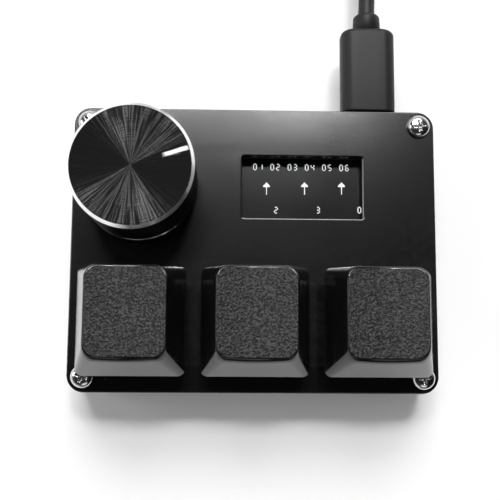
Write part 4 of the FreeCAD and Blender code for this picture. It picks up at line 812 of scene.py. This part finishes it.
def tie_fabric(name):
    """The strap's woven tape."""
    plain = {"Sheen Weight": 0.4, "Roughness": 0.85}
    material, tree, shader = new_material(name, plain)
    place = add_node(tree, "ShaderNodeUVMap").outputs[0]
    threads = use_group(tree, WEAVE, {"Vector": place, "Thread": 400 * MICRON})
    colour = mixed(tree, 1.0, FABRIC_BLACK, grey(tree, threads["Shade"]), "MULTIPLY")
    normal = raised(tree, threads["Height"], 80 * MICRON)
    feed(tree, shader, {"Base Color": colour, "Normal": normal})
    return material


# One maker for each material slot in the record, and one for the screen's dots.
MAKERS = [
    plate_black, case_black, screw_steel, insert_brass, foot_rubber, board_laminate,
    chip_black, can_steel, capacitor_tan, light_white, keycap_black, switch_black,
    switch_clear_grey, stem_plastic, magnet_nickel, spring_steel, encoder_plastic,
    encoder_zinc, clip_steel, pin_tin, knob_aluminium, index_paint, core_plastic,
    tape_white, screen_glass, screen_light, gasket_foam, ribbon_amber, socket_steel,
    contact_plastic, lead_jacket, tie_fabric,
]
FINISH = {make.__name__: make(make.__name__) for make in MAKERS}


def finish_nodes():
    """Every CAD node gets the finish of its material slot."""
    for part in frame["record"]["subparts"]:
        node = frame["nodes"][part["node"]]
        node.data.materials.clear()
        node.data.materials.append(FINISH[part["material_slot"]])


# The lead with its far plug and strap

CABLE = Sizes(diameter=0.003, points_per_turn=24, sides=6, steps=4)
# The lead's route, as it is in the part's source, but for the photograph's slight lean.
RUN_ROUTE = [
    (0.0207, 0.0443, 0.0096),
    (0.0213, 0.0540, 0.0096),
    (0.0205, 0.0700, 0.00215),
    (0.0205, 0.0840, 0.00215),
]
TAIL_ROUTE = [
    (0.01875, 0.0840, 0.0056),
    (0.01875, 0.0920, 0.0056),
    (0.0225, 0.1005, 0.0040),
    (0.0225, 0.1085, 0.0040),
]
COIL = Sizes(
    outer_radius=0.0245,
    turn_pitch=0.0035,
    layer_pitch=0.00345,
    dip=0.0008,
    turns_in=4,
    turns_out=3.5,
    climb_turns=0.5,
)


def coil_points(centre):
    """The coil's points: in by one layer, up in half a turn, and out again."""
    total = COIL.turns_in + COIL.climb_turns + COIL.turns_out
    count = round(total * CABLE.points_per_turn)
    points = []
    for step in range(1, count):
        turn = step / CABLE.points_per_turn
        climb = min(max((turn - COIL.turns_in) / COIL.climb_turns, 0), 1)
        wound_in = min(turn, COIL.turns_in)
        wound_out = max(turn - COIL.turns_in - COIL.climb_turns, 0)
        dip = COIL.dip * math.sin(math.pi * climb)
        radius = COIL.outer_radius - COIL.turn_pitch * (wound_in - wound_out) - dip
        rise = COIL.layer_pitch * (1 - math.cos(math.pi * climb)) / 2
        angle = 2 * math.pi * turn
        around = Vector((radius * math.cos(angle), radius * math.sin(angle), rise))
        points.append(centre + around)
    return points


def make_lead():
    """The lead's cord: down to the table, round the coil and on to the far plug."""
    centre = Vector(RUN_ROUTE[-1]) - Vector((COIL.outer_radius, 0, 0))
    points = [*map(Vector, RUN_ROUTE), *coil_points(centre), *map(Vector, TAIL_ROUTE)]
    data = bpy.data.curves.new("lead_cord", "CURVE")
    data.dimensions = "3D"
    spline = data.splines.new("NURBS")
    spline.points.add(len(points) - 1)
    for spot, point in zip(spline.points, points):
        spot.co = (*point, 1)
    spline.order_u = 3
    spline.use_endpoint_u = True
    spline.resolution_u = CABLE.steps
    data.bevel_depth = CABLE.diameter / 2
    data.bevel_resolution = CABLE.sides
    data.use_fill_caps = True
    cord = link("lead_cord", data)
    dress(cord, "lead", "lead_jacket", "cable_run", "cable_coil", "cable_tail")
    make_far_grip()
    make_strap()


FAR_GRIP = Sizes(
    place=(0.0225, 0.1085, 0.0040),
    tail=(0.0064, 0.0060),
    body=(0.0156, 0.0080),
    corner=0.0024,
    taper=0.0050,
    length=0.0220,
    edge=0.0006,
    steps=12,
)
STRAP = Sizes(
    middle=(-0.01994, 0.0840, 0.003875),
    width=0.01786,
    height=0.00769,
    corner=0.0016,
    tape_width=0.0060,
    sheet=0.0005,
    end_length=0.0085,
    end_lift=0.00052,
    end_steps=16,
    end_share=0.94,
)

# How much of the tape's thickness its square edge takes.
TAPE_EDGE_SHARE = 0.6


def along_y(name, sections, place):
    """A solid through rounded sections along Y: each is (forward, width, height, corner)."""
    bm = bmesh.new()
    loops = []
    for forward, width, height, corner in sections:
        corner = min(corner, width / 2 - SAME_PLACE, height / 2 - SAME_PLACE)
        outline = rounded_outline(width, height, corner, straight=4, arc=10)
        loops.append(ring(bm, [(spot.x, forward, spot.y) for spot in outline]))
    closed_skin(bm, loops)
    return to_object(moved(bm, place), name, MOULDED_DEG)


def shoulder(start, end, width, height, corner, edge, steps=5):
    """Sections that draw in by an edge round, from start to end."""
    sections = []
    for ahead, aside in quarter(steps):
        inward = edge * (1 - aside)
        spot = start + (end - start) * ahead
        sections.append((spot, width - 2 * inward, height - 2 * inward, corner))
    return sections


def make_far_grip():
    """The far plug's moulded body: it swells from the lead to its shell."""
    width, height = FAR_GRIP.body
    tail_width, tail_height = FAR_GRIP.tail
    sections = []
    for step in range(FAR_GRIP.steps + 1):
        share = step / FAR_GRIP.steps
        ease = share * share * (3 - 2 * share)
        across = tail_width + (width - tail_width) * ease
        up = tail_height + (height - tail_height) * ease
        sections.append((FAR_GRIP.taper * share, across, up, FAR_GRIP.corner))
    length, edge, corner = FAR_GRIP.length, FAR_GRIP.edge, FAR_GRIP.corner
    sections += shoulder(length - edge, length, width, height, corner, edge)
    grip = along_y("far_plug_body", sections, FAR_GRIP.place)
    return dress(grip, "lead", "lead_jacket", "far_plug_grip")


def tape(bm, path, width, sheet, closed):
    """A flat tape along a path in the XZ plane, with its own UV map along and across."""
    uv_layer = bm.loops.layers.uv.verify()
    half, thin = width / 2, sheet / 2
    edge = thin * TAPE_EDGE_SHARE
    section = [(-half, -edge), (-half, edge), (thin - half, thin), (half - thin, thin)]
    section += [(-across, -out) for across, out in section]
    loops, run, before = [], 0.0, path[0]
    marks = {}
    for index, spot in enumerate(path):
        ahead = path[(index + 1) % len(path)] if closed or index < len(path) - 1 else spot
        behind = path[index - 1] if closed or index else spot
        way = (ahead - behind).normalized()
        outward = Vector((way.y, -way.x))
        run += (spot - before).length
        before = spot
        loop = []
        for across, out in section:
            point = spot + outward * out
            vert = bm.verts.new((point.x, across, point.y))
            marks[vert] = (run, across)
            loop.append(vert)
        loops.append(loop)
    faces_before = set(bm.faces)
    if closed:
        loops.append(loops[0])
        skin(bm, loops)
    else:
        closed_skin(bm, loops)
    for face in set(bm.faces) - faces_before:
        longest = max(marks[loop.vert][0] for loop in face.loops)
        for loop in face.loops:
            along, across = marks[loop.vert]
            wrapped = closed and longest - along > run / 2
            loop[uv_layer].uv = (along + run * wrapped, across)


def make_strap():
    """The strap round the coil, with its sewn end lying on its top."""
    bm = bmesh.new()
    sheet = STRAP.sheet
    width, height = STRAP.width - sheet, STRAP.height - sheet
    loop = rounded_outline(width, height, STRAP.corner - sheet / 2, straight=12)
    tape(bm, loop, STRAP.tape_width, sheet, closed=True)
    length, steps = STRAP.end_length, STRAP.end_steps
    level = height / 2 + STRAP.end_lift
    flat = [Vector((length / 2 - length * step / steps, level)) for step in range(steps + 1)]
    tape(bm, flat, STRAP.tape_width * STRAP.end_share, sheet, closed=False)
    strap = to_object(moved(bm, STRAP.middle), "coil_strap", CUT_DEG)
    return dress(strap, "lead", "tie_fabric", "cable_tie")


# The lead's near end

PLUG_BODY = Sizes(
    place=(0.0207, 0.0254, 0.0096),
    size=(0.0098, 0.0058),
    corner=0.0022,
    length=0.0156,
    shoulder=0.0011,
    shoulder_in=0.0010,
    front_edge=0.0003,
    steps=8,
)
RELIEF = Sizes(
    place=(0.0207, 0.0410, 0.0096),
    radius=0.00255,
    tip_radius=0.00245,
    length=0.0033,
    edge=0.0008,
    seam=0.00015,
    steps=8,
    sides=64,
)


def make_plug_body():
    """The flat oval body of the plug, with rounded shoulders at its lead end."""
    width, height = PLUG_BODY.size
    length, corner = PLUG_BODY.length, PLUG_BODY.corner
    front = shoulder(PLUG_BODY.front_edge, 0, width, height, corner, PLUG_BODY.front_edge)
    back = []
    for ahead, aside in quarter(PLUG_BODY.steps):
        inward = 2 * PLUG_BODY.shoulder_in * (1 - aside)
        spot = length - PLUG_BODY.shoulder * (1 - ahead)
        back.append((spot, width - inward, height - inward / 2, corner))
    body = along_y("plug_body", [*reversed(front), *back], PLUG_BODY.place)
    dress(body, "lead", "lead_jacket", "usb_plug_grip")


def make_relief():
    """The strain relief: a short tapered collar, rounded where the lead leaves it."""
    tip, length, edge = RELIEF.tip_radius, RELIEF.length, RELIEF.edge
    radius, seam = RELIEF.radius, RELIEF.seam
    profile = [(0, -seam), (radius - seam, -seam), (radius - seam, 0), (radius, seam)]
    for up, out in quarter(RELIEF.steps):
        profile.append((tip - edge * (1 - out), length - edge * (1 - up)))
    profile.append((0, length))
    bm = moved(lathe(profile, RELIEF.sides), RELIEF.place, Matrix.Rotation(-math.pi / 2, 3, "X"))
    relief = to_object(bm, "lead_relief", MOULDED_DEG)
    dress(relief, "lead", "lead_jacket", "cable_strain_relief")


# The plate, its screws, and the case's feet

PLATE = Sizes(
    size=(0.0640, 0.0500),
    corner=0.0030,
    low=0.0114,
    high=0.0130,
    edge=0.00022,
    cut=0.0140,
    cut_corner=0.0003,
    screw_hole=0.0024,
)
WINDOW = Sizes(middle=(0.0085, 0.01105), size=(0.0216, 0.0112), corner=0.0005)
KEY_Y = -0.013
KEYS = {"left": -0.0205, "middle": 0.0, "right": 0.0205}
SCREW_SPOTS = [(x, y) for x in (-0.02925, 0.02925) for y in (-0.02225, 0.02225)]
FOOT_SPOTS = [(x, y) for x in (-0.0245, 0.0245) for y in (-0.0175, 0.0175)]


def sheet_with_holes(name, outlines, low, high, edge):
    """A flat sheet between two levels, with rounded edges: the first outline is its rim."""
    data = bpy.data.curves.new(name, "CURVE")
    data.dimensions, data.fill_mode = "2D", "BOTH"
    data.extrude = (high - low) / 2 - edge
    data.bevel_depth, data.bevel_resolution, data.offset = edge, 2, -edge
    for outline in outlines:
        spline = data.splines.new("POLY")
        spline.points.add(len(outline) - 1)
        for spot, point in zip(spline.points, outline):
            spot.co = (*point, 0, 1)
        spline.use_cyclic_u = True
    sheet = link(name, data)
    bpy.context.view_layer.update()
    seen = sheet.evaluated_get(bpy.context.evaluated_depsgraph_get())
    flat = bpy.data.meshes.new_from_object(seen)
    bpy.data.objects.remove(sheet)
    bm = bmesh.new()
    bm.from_mesh(flat)
    return to_object(moved(bm, (0, 0, (low + high) / 2)), name, SHEET_DEG)


# How steeply the window's bare wall, painted pale as a highlight, and a cap's top face their ways.
HIGHLIGHT_WALL_SLOPE, TOP_SLOPE, TOP_LEAN = -0.8, 0.95, 0.05


def mark_faces(mesh, name, is_marked):
    """Marks some faces with 1 and the rest with 0, for a finish to read."""
    marks = mesh.attributes.new(name, "FLOAT", "FACE")
    for face, mark in zip(mesh.polygons, marks.data):
        mark.value = float(is_marked(face))


def is_bare_rim(face):
    """Whether a face of the plate is the window's right wall, bare and pale as a painted highlight."""
    reach = [side / 2 + 2 * PLATE.edge for side in WINDOW.size]
    away = [abs(face.center[axis] - WINDOW.middle[axis]) for axis in (0, 1)]
    return away[0] < reach[0] and away[1] < reach[1] and face.normal.x < HIGHLIGHT_WALL_SLOPE


def is_cap_top(face):
    """Whether a face of a cap is on its dished top, within the rim."""
    high = face.center.z > CAP.foot_level + CAP.height - 2 * CAP.dish
    return high and face.normal.z > TOP_SLOPE and abs(face.normal.y) < TOP_LEAN


def make_face_plate():
    """The face plate, with openings for the screen, switches, encoder and screws."""
    cut, corner = PLATE.cut, PLATE.cut_corner
    outlines = [rounded_outline(*PLATE.size, PLATE.corner, arc=16)]
    window = (*WINDOW.size, WINDOW.corner, WINDOW.middle)
    outlines.append(rounded_outline(*window))
    for x in KEYS.values():
        outlines.append(rounded_outline(cut, cut, corner, (x, KEY_Y), arc=3))
    outlines.append(rounded_outline(cut, cut, corner, KNOB_CENTRE[:2], arc=3))
    outlines += [circle_outline(PLATE.screw_hole, spot) for spot in SCREW_SPOTS]
    levels = (PLATE.low, PLATE.high)
    plate = sheet_with_holes("face_plate", outlines, *levels, PLATE.edge)
    # Only the window's right wall is marked bare and pale: a painted highlight.
    mark_faces(plate.data, "bare", is_bare_rim)
    dress(plate, "housing", "plate_black", "top_plate")


SCREW = Sizes(
    head_radius=0.0020,
    head_height=0.0013,
    head_lip=0.0003,
    shank_radius=0.0010,
    length=0.0050,
    recess_span=0.0023,
    recess_width=0.0005,
    recess_depth=0.00075,
    dome_powers=(0.8, 0.75),
    mouth_share=1.15,
    foot_shares=(0.45, 0.7),
    cutter_share=1.2,
    steps=10,
    sides=48,
)


def screw_blank():
    """One pan-head screw before its recess, from the head's top to the shank's end."""
    radius, height, lip = SCREW.head_radius, SCREW.head_height, SCREW.head_lip
    out_power, up_power = SCREW.dome_powers
    profile = [(0, height)]
    for out, up in quarter(SCREW.steps)[1:]:
        profile.append((radius * out**out_power, lip + (height - lip) * up**up_power))
    profile += [(radius, 0.0), (SCREW.shank_radius, 0.0)]
    profile += [(SCREW.shank_radius, -SCREW.length), (0, -SCREW.length)]
    return to_object(lathe(profile, SCREW.sides), "screw_blank", CUT_DEG)


def recess_cutter():
    """The driver's cross: two crossed arms that narrow downwards, as one solid."""
    bm = bmesh.new()
    reach, half = SCREW.recess_span / 2, SCREW.recess_width / 2
    top = SCREW.head_height * SCREW.cutter_share
    low = SCREW.head_height - SCREW.recess_depth
    long_share, wide_share = SCREW.foot_shares
    mouth = SCREW.mouth_share
    loops = []
    for level, longer, wider in ((low, long_share, wide_share), (top, mouth, mouth)):
        long, wide = reach * longer, half * wider
        corner = [(long, -wide), (long, wide), (wide, wide)]
        points = []
        for quarter_turn in range(4):
            turn = Matrix.Rotation(math.pi / 2 * quarter_turn, 2)
            points += [turn @ Vector(spot) for spot in corner]
        loops.append(ring(bm, [(spot.x, spot.y, level) for spot in points]))
    closed_skin(bm, loops)
    return to_object(bm, "recess_cutter")


def cut_away(obj, cutter):
    """Cuts one solid from another, and removes the cutter."""
    cut = obj.modifiers.new("cut", "BOOLEAN")
    cut.operation, cut.solver, cut.object = "DIFFERENCE", "EXACT", cutter
    apply_modifiers(obj)
    bpy.data.objects.remove(cutter)


def make_screws():
    """The four plate screws, each driven home at its own turn."""
    screw = screw_blank()
    cut_away(screw, recess_cutter())
    spots = [(*spot, PLATE.high) for spot in SCREW_SPOTS]
    screws = copied("face_screws", screw, spots, "screw_steel", (0.0, math.pi / 2), seed=7)
    dress(screws, "housing", "screw_steel", "plate_screws")


FOOT = Sizes(
    radius=0.0040,
    height=0.0020,
    edge=0.0004,
    dimple=0.0026,
    dimple_depth=0.0002,
    steps=5,
    sides=48,
)


def make_feet():
    """The four rubber feet, dished underneath so that each rests on its rim."""
    radius, edge, dimple = FOOT.radius, FOOT.edge, FOOT.dimple
    profile = [(0, FOOT.height), (radius, FOOT.height)]
    for down, out in quarter(FOOT.steps):
        profile.append((radius - edge * (1 - out), edge * (1 - down)))
    profile += [(dimple, 0), (dimple - edge, FOOT.dimple_depth), (0, FOOT.dimple_depth)]
    foot = to_object(lathe(profile, FOOT.sides), "foot", CUT_DEG)
    spots = [(*spot, 0) for spot in FOOT_SPOTS]
    feet = copied("soft_feet", foot, spots, "foot_rubber")
    dress(feet, "housing", "foot_rubber", "rubber_feet")


# Keycaps

CAP = Sizes(
    foot_level=0.0190,
    height=0.0095,
    foot=0.0181,
    foot_radius=0.0013,
    top_width=0.0129,
    top_depth=0.0146,
    top_radius=0.0022,
    top_back=0.0011,
    dish=0.0010,
    edge_round=0.0003,
    wall=0.0013,
    top_wall=0.0014,
    post=0.0055,
    post_foot=0.0203,
    cross=(0.00408, 0.00133, 0.00113),
    cross_depth=0.0037,
    wall_steps=8,
    rim_steps=6,
    top_steps=12,
    post_steps=144,
)


def dish_level(x):
    """How high the cap's dished top is over its foot, at a distance from its middle."""
    half = CAP.top_width / 2
    bend = (half**2 + CAP.dish ** 2) / (2 * CAP.dish)
    within = min(abs(x), half)
    return CAP.height - CAP.dish + bend - math.sqrt(bend**2 - within**2)


def cap_outline(share, inset=0.0):
    """The cap's outline at a share of its height, drawn in by an inset."""
    width = CAP.foot + (CAP.top_width - CAP.foot) * share - 2 * inset
    depth = CAP.foot + (CAP.top_depth - CAP.foot) * share - 2 * inset
    radius = CAP.foot_radius + (CAP.top_radius - CAP.foot_radius) * share - inset
    radius = max(radius, CAP.edge_round)
    return rounded_outline(width, depth, radius, (0, CAP.top_back * share))


def on_dish(spot):
    """A point of the dished top."""
    return Vector((spot.x, spot.y, dish_level(spot.x)))


def cap_walls(bm):
    """The tapered walls, from the foot up to just under the dished rim."""
    foot, crown = cap_outline(0), cap_outline(1)
    loops = []
    for step in range(CAP.wall_steps + 1):
        outline = []
        for low, high in zip(foot, crown):
            level = (dish_level(high.x) - CAP.edge_round) * step / CAP.wall_steps
            side = low.lerp(high, level / CAP.height)
            outline.append((side.x, side.y, level))
        loops.append(ring(bm, outline))
    return loops


def cap_rim(bm, below):
    """The rounded rim between the walls and the top."""
    lower = [vert.co.copy() for vert in below]
    corners = [on_dish(spot) for spot in cap_outline(1)]
    inner = [on_dish(spot) for spot in cap_outline(1, CAP.edge_round)]
    loops = []
    for step in range(1, CAP.rim_steps + 1):
        share = step / CAP.rim_steps
        outline = []
        for low, corner, end in zip(lower, corners, inner):
            outline.append(low.lerp(corner, share).lerp(corner.lerp(end, share), share))
        loops.append(ring(bm, outline))
    return loops


def cap_top(bm):
    """The dished top, in to its middle."""
    middle = Vector((0, CAP.top_back))
    inner = cap_outline(1, CAP.edge_round)
    loops = []
    for step in range(1, CAP.top_steps):
        near = [spot.lerp(middle, step / CAP.top_steps) for spot in inner]
        loops.append(ring(bm, [on_dish(spot) for spot in near]))
    return loops


def cap_room(bm, foot):
    """The hollow under the cap, and the foot's rim round it."""
    ceiling = CAP.height - CAP.dish - CAP.top_wall
    loops = [foot]
    for share in (0, 0.5, 1):
        high = ceiling * share
        outline = cap_outline(high / CAP.height, CAP.wall)
        loops.append(ring(bm, [(spot.x, spot.y, high) for spot in outline]))
    skin(bm, loops)
    bm.faces.new(loops[-1])


def cross_reach(angle, width, arm_wide, arm_deep):
    """How far the cross's outline is from its centre in one direction."""
    across, along = abs(math.cos(angle)), abs(math.sin(angle))
    reaches = []
    for half_x, half_y in ((width / 2, arm_deep / 2), (arm_wide / 2, width / 2)):
        sides = [half_x / max(across, SAME_PLACE), half_y / max(along, SAME_PLACE)]
        reaches.append(min(sides))
    return max(reaches)


def cap_post(bm):
    """The round post under the cap's top, with the socket for the stem's cross."""
    low = CAP.post_foot - CAP.foot_level
    high = CAP.height - CAP.dish - CAP.top_wall + CAP.edge_round
    count = CAP.post_steps
    angles = [2 * math.pi * step / count for step in range(count)]
    ways = [Vector((math.cos(angle), math.sin(angle), 0)) for angle in angles]
    round_points = [way * CAP.post / 2 for way in ways]
    cross_points = [way * cross_reach(angle, *CAP.cross) for angle, way in zip(angles, ways)]
    levels = [
        (round_points, high),
        (round_points, low),
        (cross_points, low),
        (cross_points, low + CAP.cross_depth),
    ]
    loops = [ring(bm, [(spot.x, spot.y, level) for spot in points]) for points, level in levels]
    closed_skin(bm, loops)


def make_keycap(side, x):
    """One keycap on its own switch."""
    bm = bmesh.new()
    walls = cap_walls(bm)
    outside = [*walls, *cap_rim(bm, walls[-1]), *cap_top(bm)]
    skin(bm, outside)
    bm.faces.new(outside[-1])
    cap_room(bm, outside[0])
    cap_post(bm)
    name = f"{side}_cap"
    cap = to_object(moved(bm, (x, KEY_Y, CAP.foot_level)), name, CUT_DEG)
    mark_faces(cap.data, "on_top", is_cap_top)
    dress(cap, f"{side}_key", "keycap_black", f"{side}_keycap")


# The knob

KNOB = Sizes(
    radius=0.01015,
    foot=0.0151,
    top=KNOB_CENTRE[2],
    bevel=0.0005,
    wall=0.0015,
    top_wall=0.0020,
    foot_bevel=0.0002,
    line_foot=0.0014,
    line_height=0.0005,
    line_depth=0.0003,
    dish=0.0002,
    dish_steps=6,
    sides=192,
)


def make_knob():
    """The turned knob, cut for its index line."""
    outer, foot, top = KNOB.radius, KNOB.foot, KNOB.top
    inner = outer - KNOB.wall
    line, third = foot + KNOB.line_foot, KNOB.line_height / 3
    profile = [
        (0, top - KNOB.top_wall),
        (inner, top - KNOB.top_wall),
        (inner, foot),
        (outer - KNOB.foot_bevel, foot),
        (outer, foot + KNOB.foot_bevel),
        (outer, line),
        (outer - KNOB.line_depth, line + third),
        (outer - KNOB.line_depth, line + 2 * third),
        (outer, line + 3 * third),
        (outer, top - KNOB.bevel),
    ]
    face = outer - KNOB.bevel
    for step in range(KNOB.dish_steps + 1):
        out = 1 - step / KNOB.dish_steps
        profile.append((face * out, top - KNOB.dish * (1 - out**2)))
    x, y, _ = KNOB_CENTRE
    bm = moved(lathe(profile, KNOB.sides), (x, y, 0))
    knob = to_object(bm, "turned_knob", TURNED_DEG)
    cut_away(knob, index_cutter())
    dress(knob, "knob", "knob_aluminium", "knob_shell")


def index_cutter():
    """A taller copy of the index line's own solid."""
    bm = node_form("knob_index")
    top = max(vert.co.z for vert in bm.verts)
    for vert in bm.verts:
        if vert.co.z > top - KNOB.line_depth / 2:
            vert.co.z = top + KNOB.bevel
    return to_object(bm, "index_cutter")


def node_form(node):
    """A node's own form, its doubled points merged."""
    bm = bmesh.new()
    bm.from_mesh(frame["nodes"][node].data)
    bmesh.ops.remove_doubles(bm, verts=bm.verts, dist=SAME_PLACE)
    return bm


def make_yielding(name, node, slot):
    """A spring or dome as its own piece, with a mesh of its own."""
    piece = to_object(node_form(node), name, CUT_DEG)
    dress(piece, "housing", slot, node)
    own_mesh(piece)


# What the screen shows: plain numbers and arrows

DOT_PITCH = 0.000174
DOT = Sizes(side=0.00015, height=0.00003, level=0.00971)
DIGIT_COLUMNS, DIGIT_ROWS, DIGIT_PITCH = 4, 7, 6
# The lit bars of each digit: top, middle and foot bars, then the four uprights.
DIGIT_BARS = {
    "0": "tfabcd",
    "1": "bd",
    "2": "tmfbc",
    "3": "tmfbd",
    "4": "mabd",
    "5": "tmfad",
    "6": "tmfacd",
}
TOP_LINE = Sizes(text="01 02 03 04 05 06", middle=(0.00849, 0.01536))
COUNTS = {"2": (0.00395, 0.00745), "3": (0.01156, 0.00754), "0": (0.01905, 0.00762)}
ARROWS = [(0.00224, 0.0114), (0.00912, 0.01148), (0.01584, 0.01156)]
ARROW_ROWS, ARROW_HEAD, ARROW_REACH = 13, 5, 3


def digit_dots(digit):
    """The lit dots of one digit, in columns and rows from its lower left."""
    last_row, last_column, middle = DIGIT_ROWS - 1, DIGIT_COLUMNS - 1, DIGIT_ROWS // 2
    across = range(1, last_column)
    upper, lower = range(middle + 1, last_row), range(1, middle)
    bars = {
        "t": [(column, last_row) for column in across],
        "m": [(column, middle) for column in across],
        "f": [(column, 0) for column in across],
        "a": [(0, row) for row in upper],
        "b": [(last_column, row) for row in upper],
        "c": [(0, row) for row in lower],
        "d": [(last_column, row) for row in lower],
    }
    lit = DIGIT_BARS[digit]
    dots = [dot for bar in lit for dot in bars[bar]]
    if "m" not in lit:
        sides = {0: "ac", last_column: "bd"}
        dots += [(column, middle) for column, pair in sides.items() if set(pair) <= set(lit)]
    return dots


def text_dots(text):
    """The lit dots of a line of digits, about its middle."""
    width = (len(text) - 1) * DIGIT_PITCH + DIGIT_COLUMNS - 1
    dots = []
    for place, digit in enumerate(text):
        if digit != " ":
            start = place * DIGIT_PITCH - width / 2
            dots += [(start + x, y - (DIGIT_ROWS - 1) / 2) for x, y in digit_dots(digit)]
    return dots


def arrow_dots():
    """The lit dots of an upward arrow, about its middle."""
    top = (ARROW_ROWS - 1) / 2
    dots = [(0, top - row) for row in range(ARROW_ROWS)]
    for row in range(1, ARROW_HEAD):
        reach = min(row, ARROW_REACH)
        dots += [(side, top - row) for side in range(-reach, reach + 1) if side]
    return dots


def make_screen_dots():
    """Every lit dot, as a thin raised tile on the glass."""
    words = [(text_dots(TOP_LINE.text), TOP_LINE.middle)]
    words += [(text_dots(digit), middle) for digit, middle in COUNTS.items()]
    words += [(arrow_dots(), middle) for middle in ARROWS]
    spots = []
    for dots, (x, y) in words:
        spots += [(x + a * DOT_PITCH, y + b * DOT_PITCH, DOT.level) for a, b in dots]
    bm = bmesh.new()
    bmesh.ops.create_cube(bm, size=1)
    size = (DOT.side, DOT.side, DOT.height)
    bmesh.ops.scale(bm, verts=bm.verts, vec=size)
    tile = to_object(bm, "dot")
    dots = copied("screen_dots", tile, spots, "screen_light")
    dress(dots, "housing", "light_white", finish="screen_light")


# Studio and camera

# The photograph's camera, fitted to the plate, keys, knob and window.
IMAGE_SIDE_PX = 500
FOCAL_PX = 833.3
SENSOR_WIDTH_MM = 36.0
CAMERA_PLACE = (-0.0048, -0.01897, 0.15745)
CAMERA_TURNS_DEG = (-7.369, 1.645, -0.351)
CLIP_NEAR, CLIP_FAR = 0.01, 20.0

FLOOR_SIDE = 8.0
FLOOR_GREY = 0.96
FLOOR_GLOW, FAR_GLOW = 0.1, 0.9
GLOW_FROM, GLOW_FULL = 0.3, 1.5
HORIZON_LIGHT, OVERHEAD_LIGHT = 1.0, 0.02
HORIZON_TOP, OVERHEAD_FROM = 0.25, 0.6
DIM_CORNER = (0.707, -0.707, 0)
DIM_FROM, DIM_FULL, DIM_SHARE = 0.3, 0.65, 0.04
AIM = (0, 0, 0.02)
# Each soft box: where it hangs, its width and height, and its power in watts.
SOFT_BOXES = {
    "near_left_box": ((-0.351, 0.774, 1.80), (0.18, 0.19), 5.0),
    "near_middle_box": ((-0.080, 0.774, 1.80), (0.36, 0.19), 5.0),
    "near_right_box": ((0.188, 0.774, 1.80), (0.18, 0.19), 8.0),
    "back_box": ((0.00, 1.42, 1.80), (1.37, 0.73), 27.0),
    "left_box": ((-1.65, 0.33, 1.40), (0.60, 0.60), 5.6),
    "front_box": ((0.30, -1.50, 1.50), (1.00, 0.80), 2.8),
}


def make_camera():
    """The photograph's view."""
    data = bpy.data.cameras.new("camera")
    data.sensor_width = SENSOR_WIDTH_MM
    data.lens = FOCAL_PX / IMAGE_SIDE_PX * SENSOR_WIDTH_MM
    data.clip_start, data.clip_end = CLIP_NEAR, CLIP_FAR
    camera = link("camera", data)
    turns = [math.radians(angle) for angle in CAMERA_TURNS_DEG]
    to_camera = Matrix.Identity(3)
    for angle, axis in zip(turns, "XYZ"):
        to_camera = to_camera @ Matrix.Rotation(angle, 3, axis)
    camera.matrix_world = Matrix.Translation(CAMERA_PLACE) @ to_camera.transposed().to_4x4()
    bpy.context.scene.camera = camera


def make_floor():
    """A plain pale floor that keeps the shadow, with a trace of its own light."""
    bm = bmesh.new()
    bmesh.ops.create_grid(bm, x_segments=1, y_segments=1, size=FLOOR_SIDE / 2)
    floor = to_object(bm, "floor")
    plain = {
        "Base Color": (FLOOR_GREY, FLOOR_GREY, FLOOR_GREY, 1),
        "Roughness": 0.9,
        "Specular IOR Level": 0.0,
        "Emission Color": (1, 1, 1, 1),
    }
    material, tree, shader = new_material("floor_pale", plain)
    path = add_node(tree, "ShaderNodeLightPath").outputs
    seen = maths(tree, "MAXIMUM", path["Is Camera Ray"], path["Is Glossy Ray"])
    seen = maths(tree, "MAXIMUM", seen, path["Is Transmission Ray"])
    away = vectors(tree, "LENGTH", object_vector(tree))
    glow = ranged(tree, away, GLOW_FROM, GLOW_FULL, FLOOR_GLOW, FAR_GLOW, smooth=True)
    feed(tree, shader, {"Emission Strength": maths(tree, "MULTIPLY", seen, glow)})
    floor.data.materials.append(material)


def make_soft_box(name, place, size, power):
    """A soft box, turned towards the keypad."""
    data = bpy.data.lights.new(name, "AREA")
    data.shape = "RECTANGLE"
    data.size, data.size_y = size
    data.energy = power
    box = link(name, data)
    box.visible_camera = False
    turn = (Vector(AIM) - Vector(place)).to_track_quat("-Z", "Y").to_matrix().to_4x4()
    box.matrix_world = Matrix.Translation(place) @ turn


def make_world():
    """White walls round the studio but for one dim corner, under a dim ceiling."""
    world = bpy.data.worlds.new("world")
    world.use_nodes = True
    tree = world.node_tree
    way = add_node(tree, "ShaderNodeTexCoord").outputs["Generated"]
    up = split(tree, way)[2]
    levels = (HORIZON_TOP, OVERHEAD_FROM, HORIZON_LIGHT, OVERHEAD_LIGHT)
    strength = ranged(tree, up, *levels, smooth=True)
    corner = vectors(tree, "DOT_PRODUCT", way, DIM_CORNER)
    dimmed = ranged(tree, corner, DIM_FROM, DIM_FULL, 1.0, DIM_SHARE, smooth=True)
    strength = maths(tree, "MULTIPLY", strength, dimmed)
    seen = add_node(tree, "ShaderNodeLightPath").outputs["Is Camera Ray"]
    strength = maths(tree, "MAXIMUM", strength, seen)
    background = tree.nodes["Background"]
    background.inputs["Color"].default_value = (1, 1, 1, 1)
    tree.links.new(strength, background.inputs["Strength"])
    bpy.context.scene.world = world


finish_nodes()
make_camera()
make_lead()
make_plug_body()
make_relief()
make_face_plate()
make_screws()
make_feet()
for side, x in KEYS.items():
    make_keycap(side, x)
    spring = f"{side}_switch_spring"
    make_yielding(f"{side}_coil_spring", spring, "spring_steel")
make_yielding("click_dome", "encoder_dome", "clip_steel")
make_knob()
make_screen_dots()
make_floor()
make_world()
for name, (place, size, power) in SOFT_BOXES.items():
    make_soft_box(name, place, size, power)
bpy.context.scene.view_settings.view_transform = "Standard"
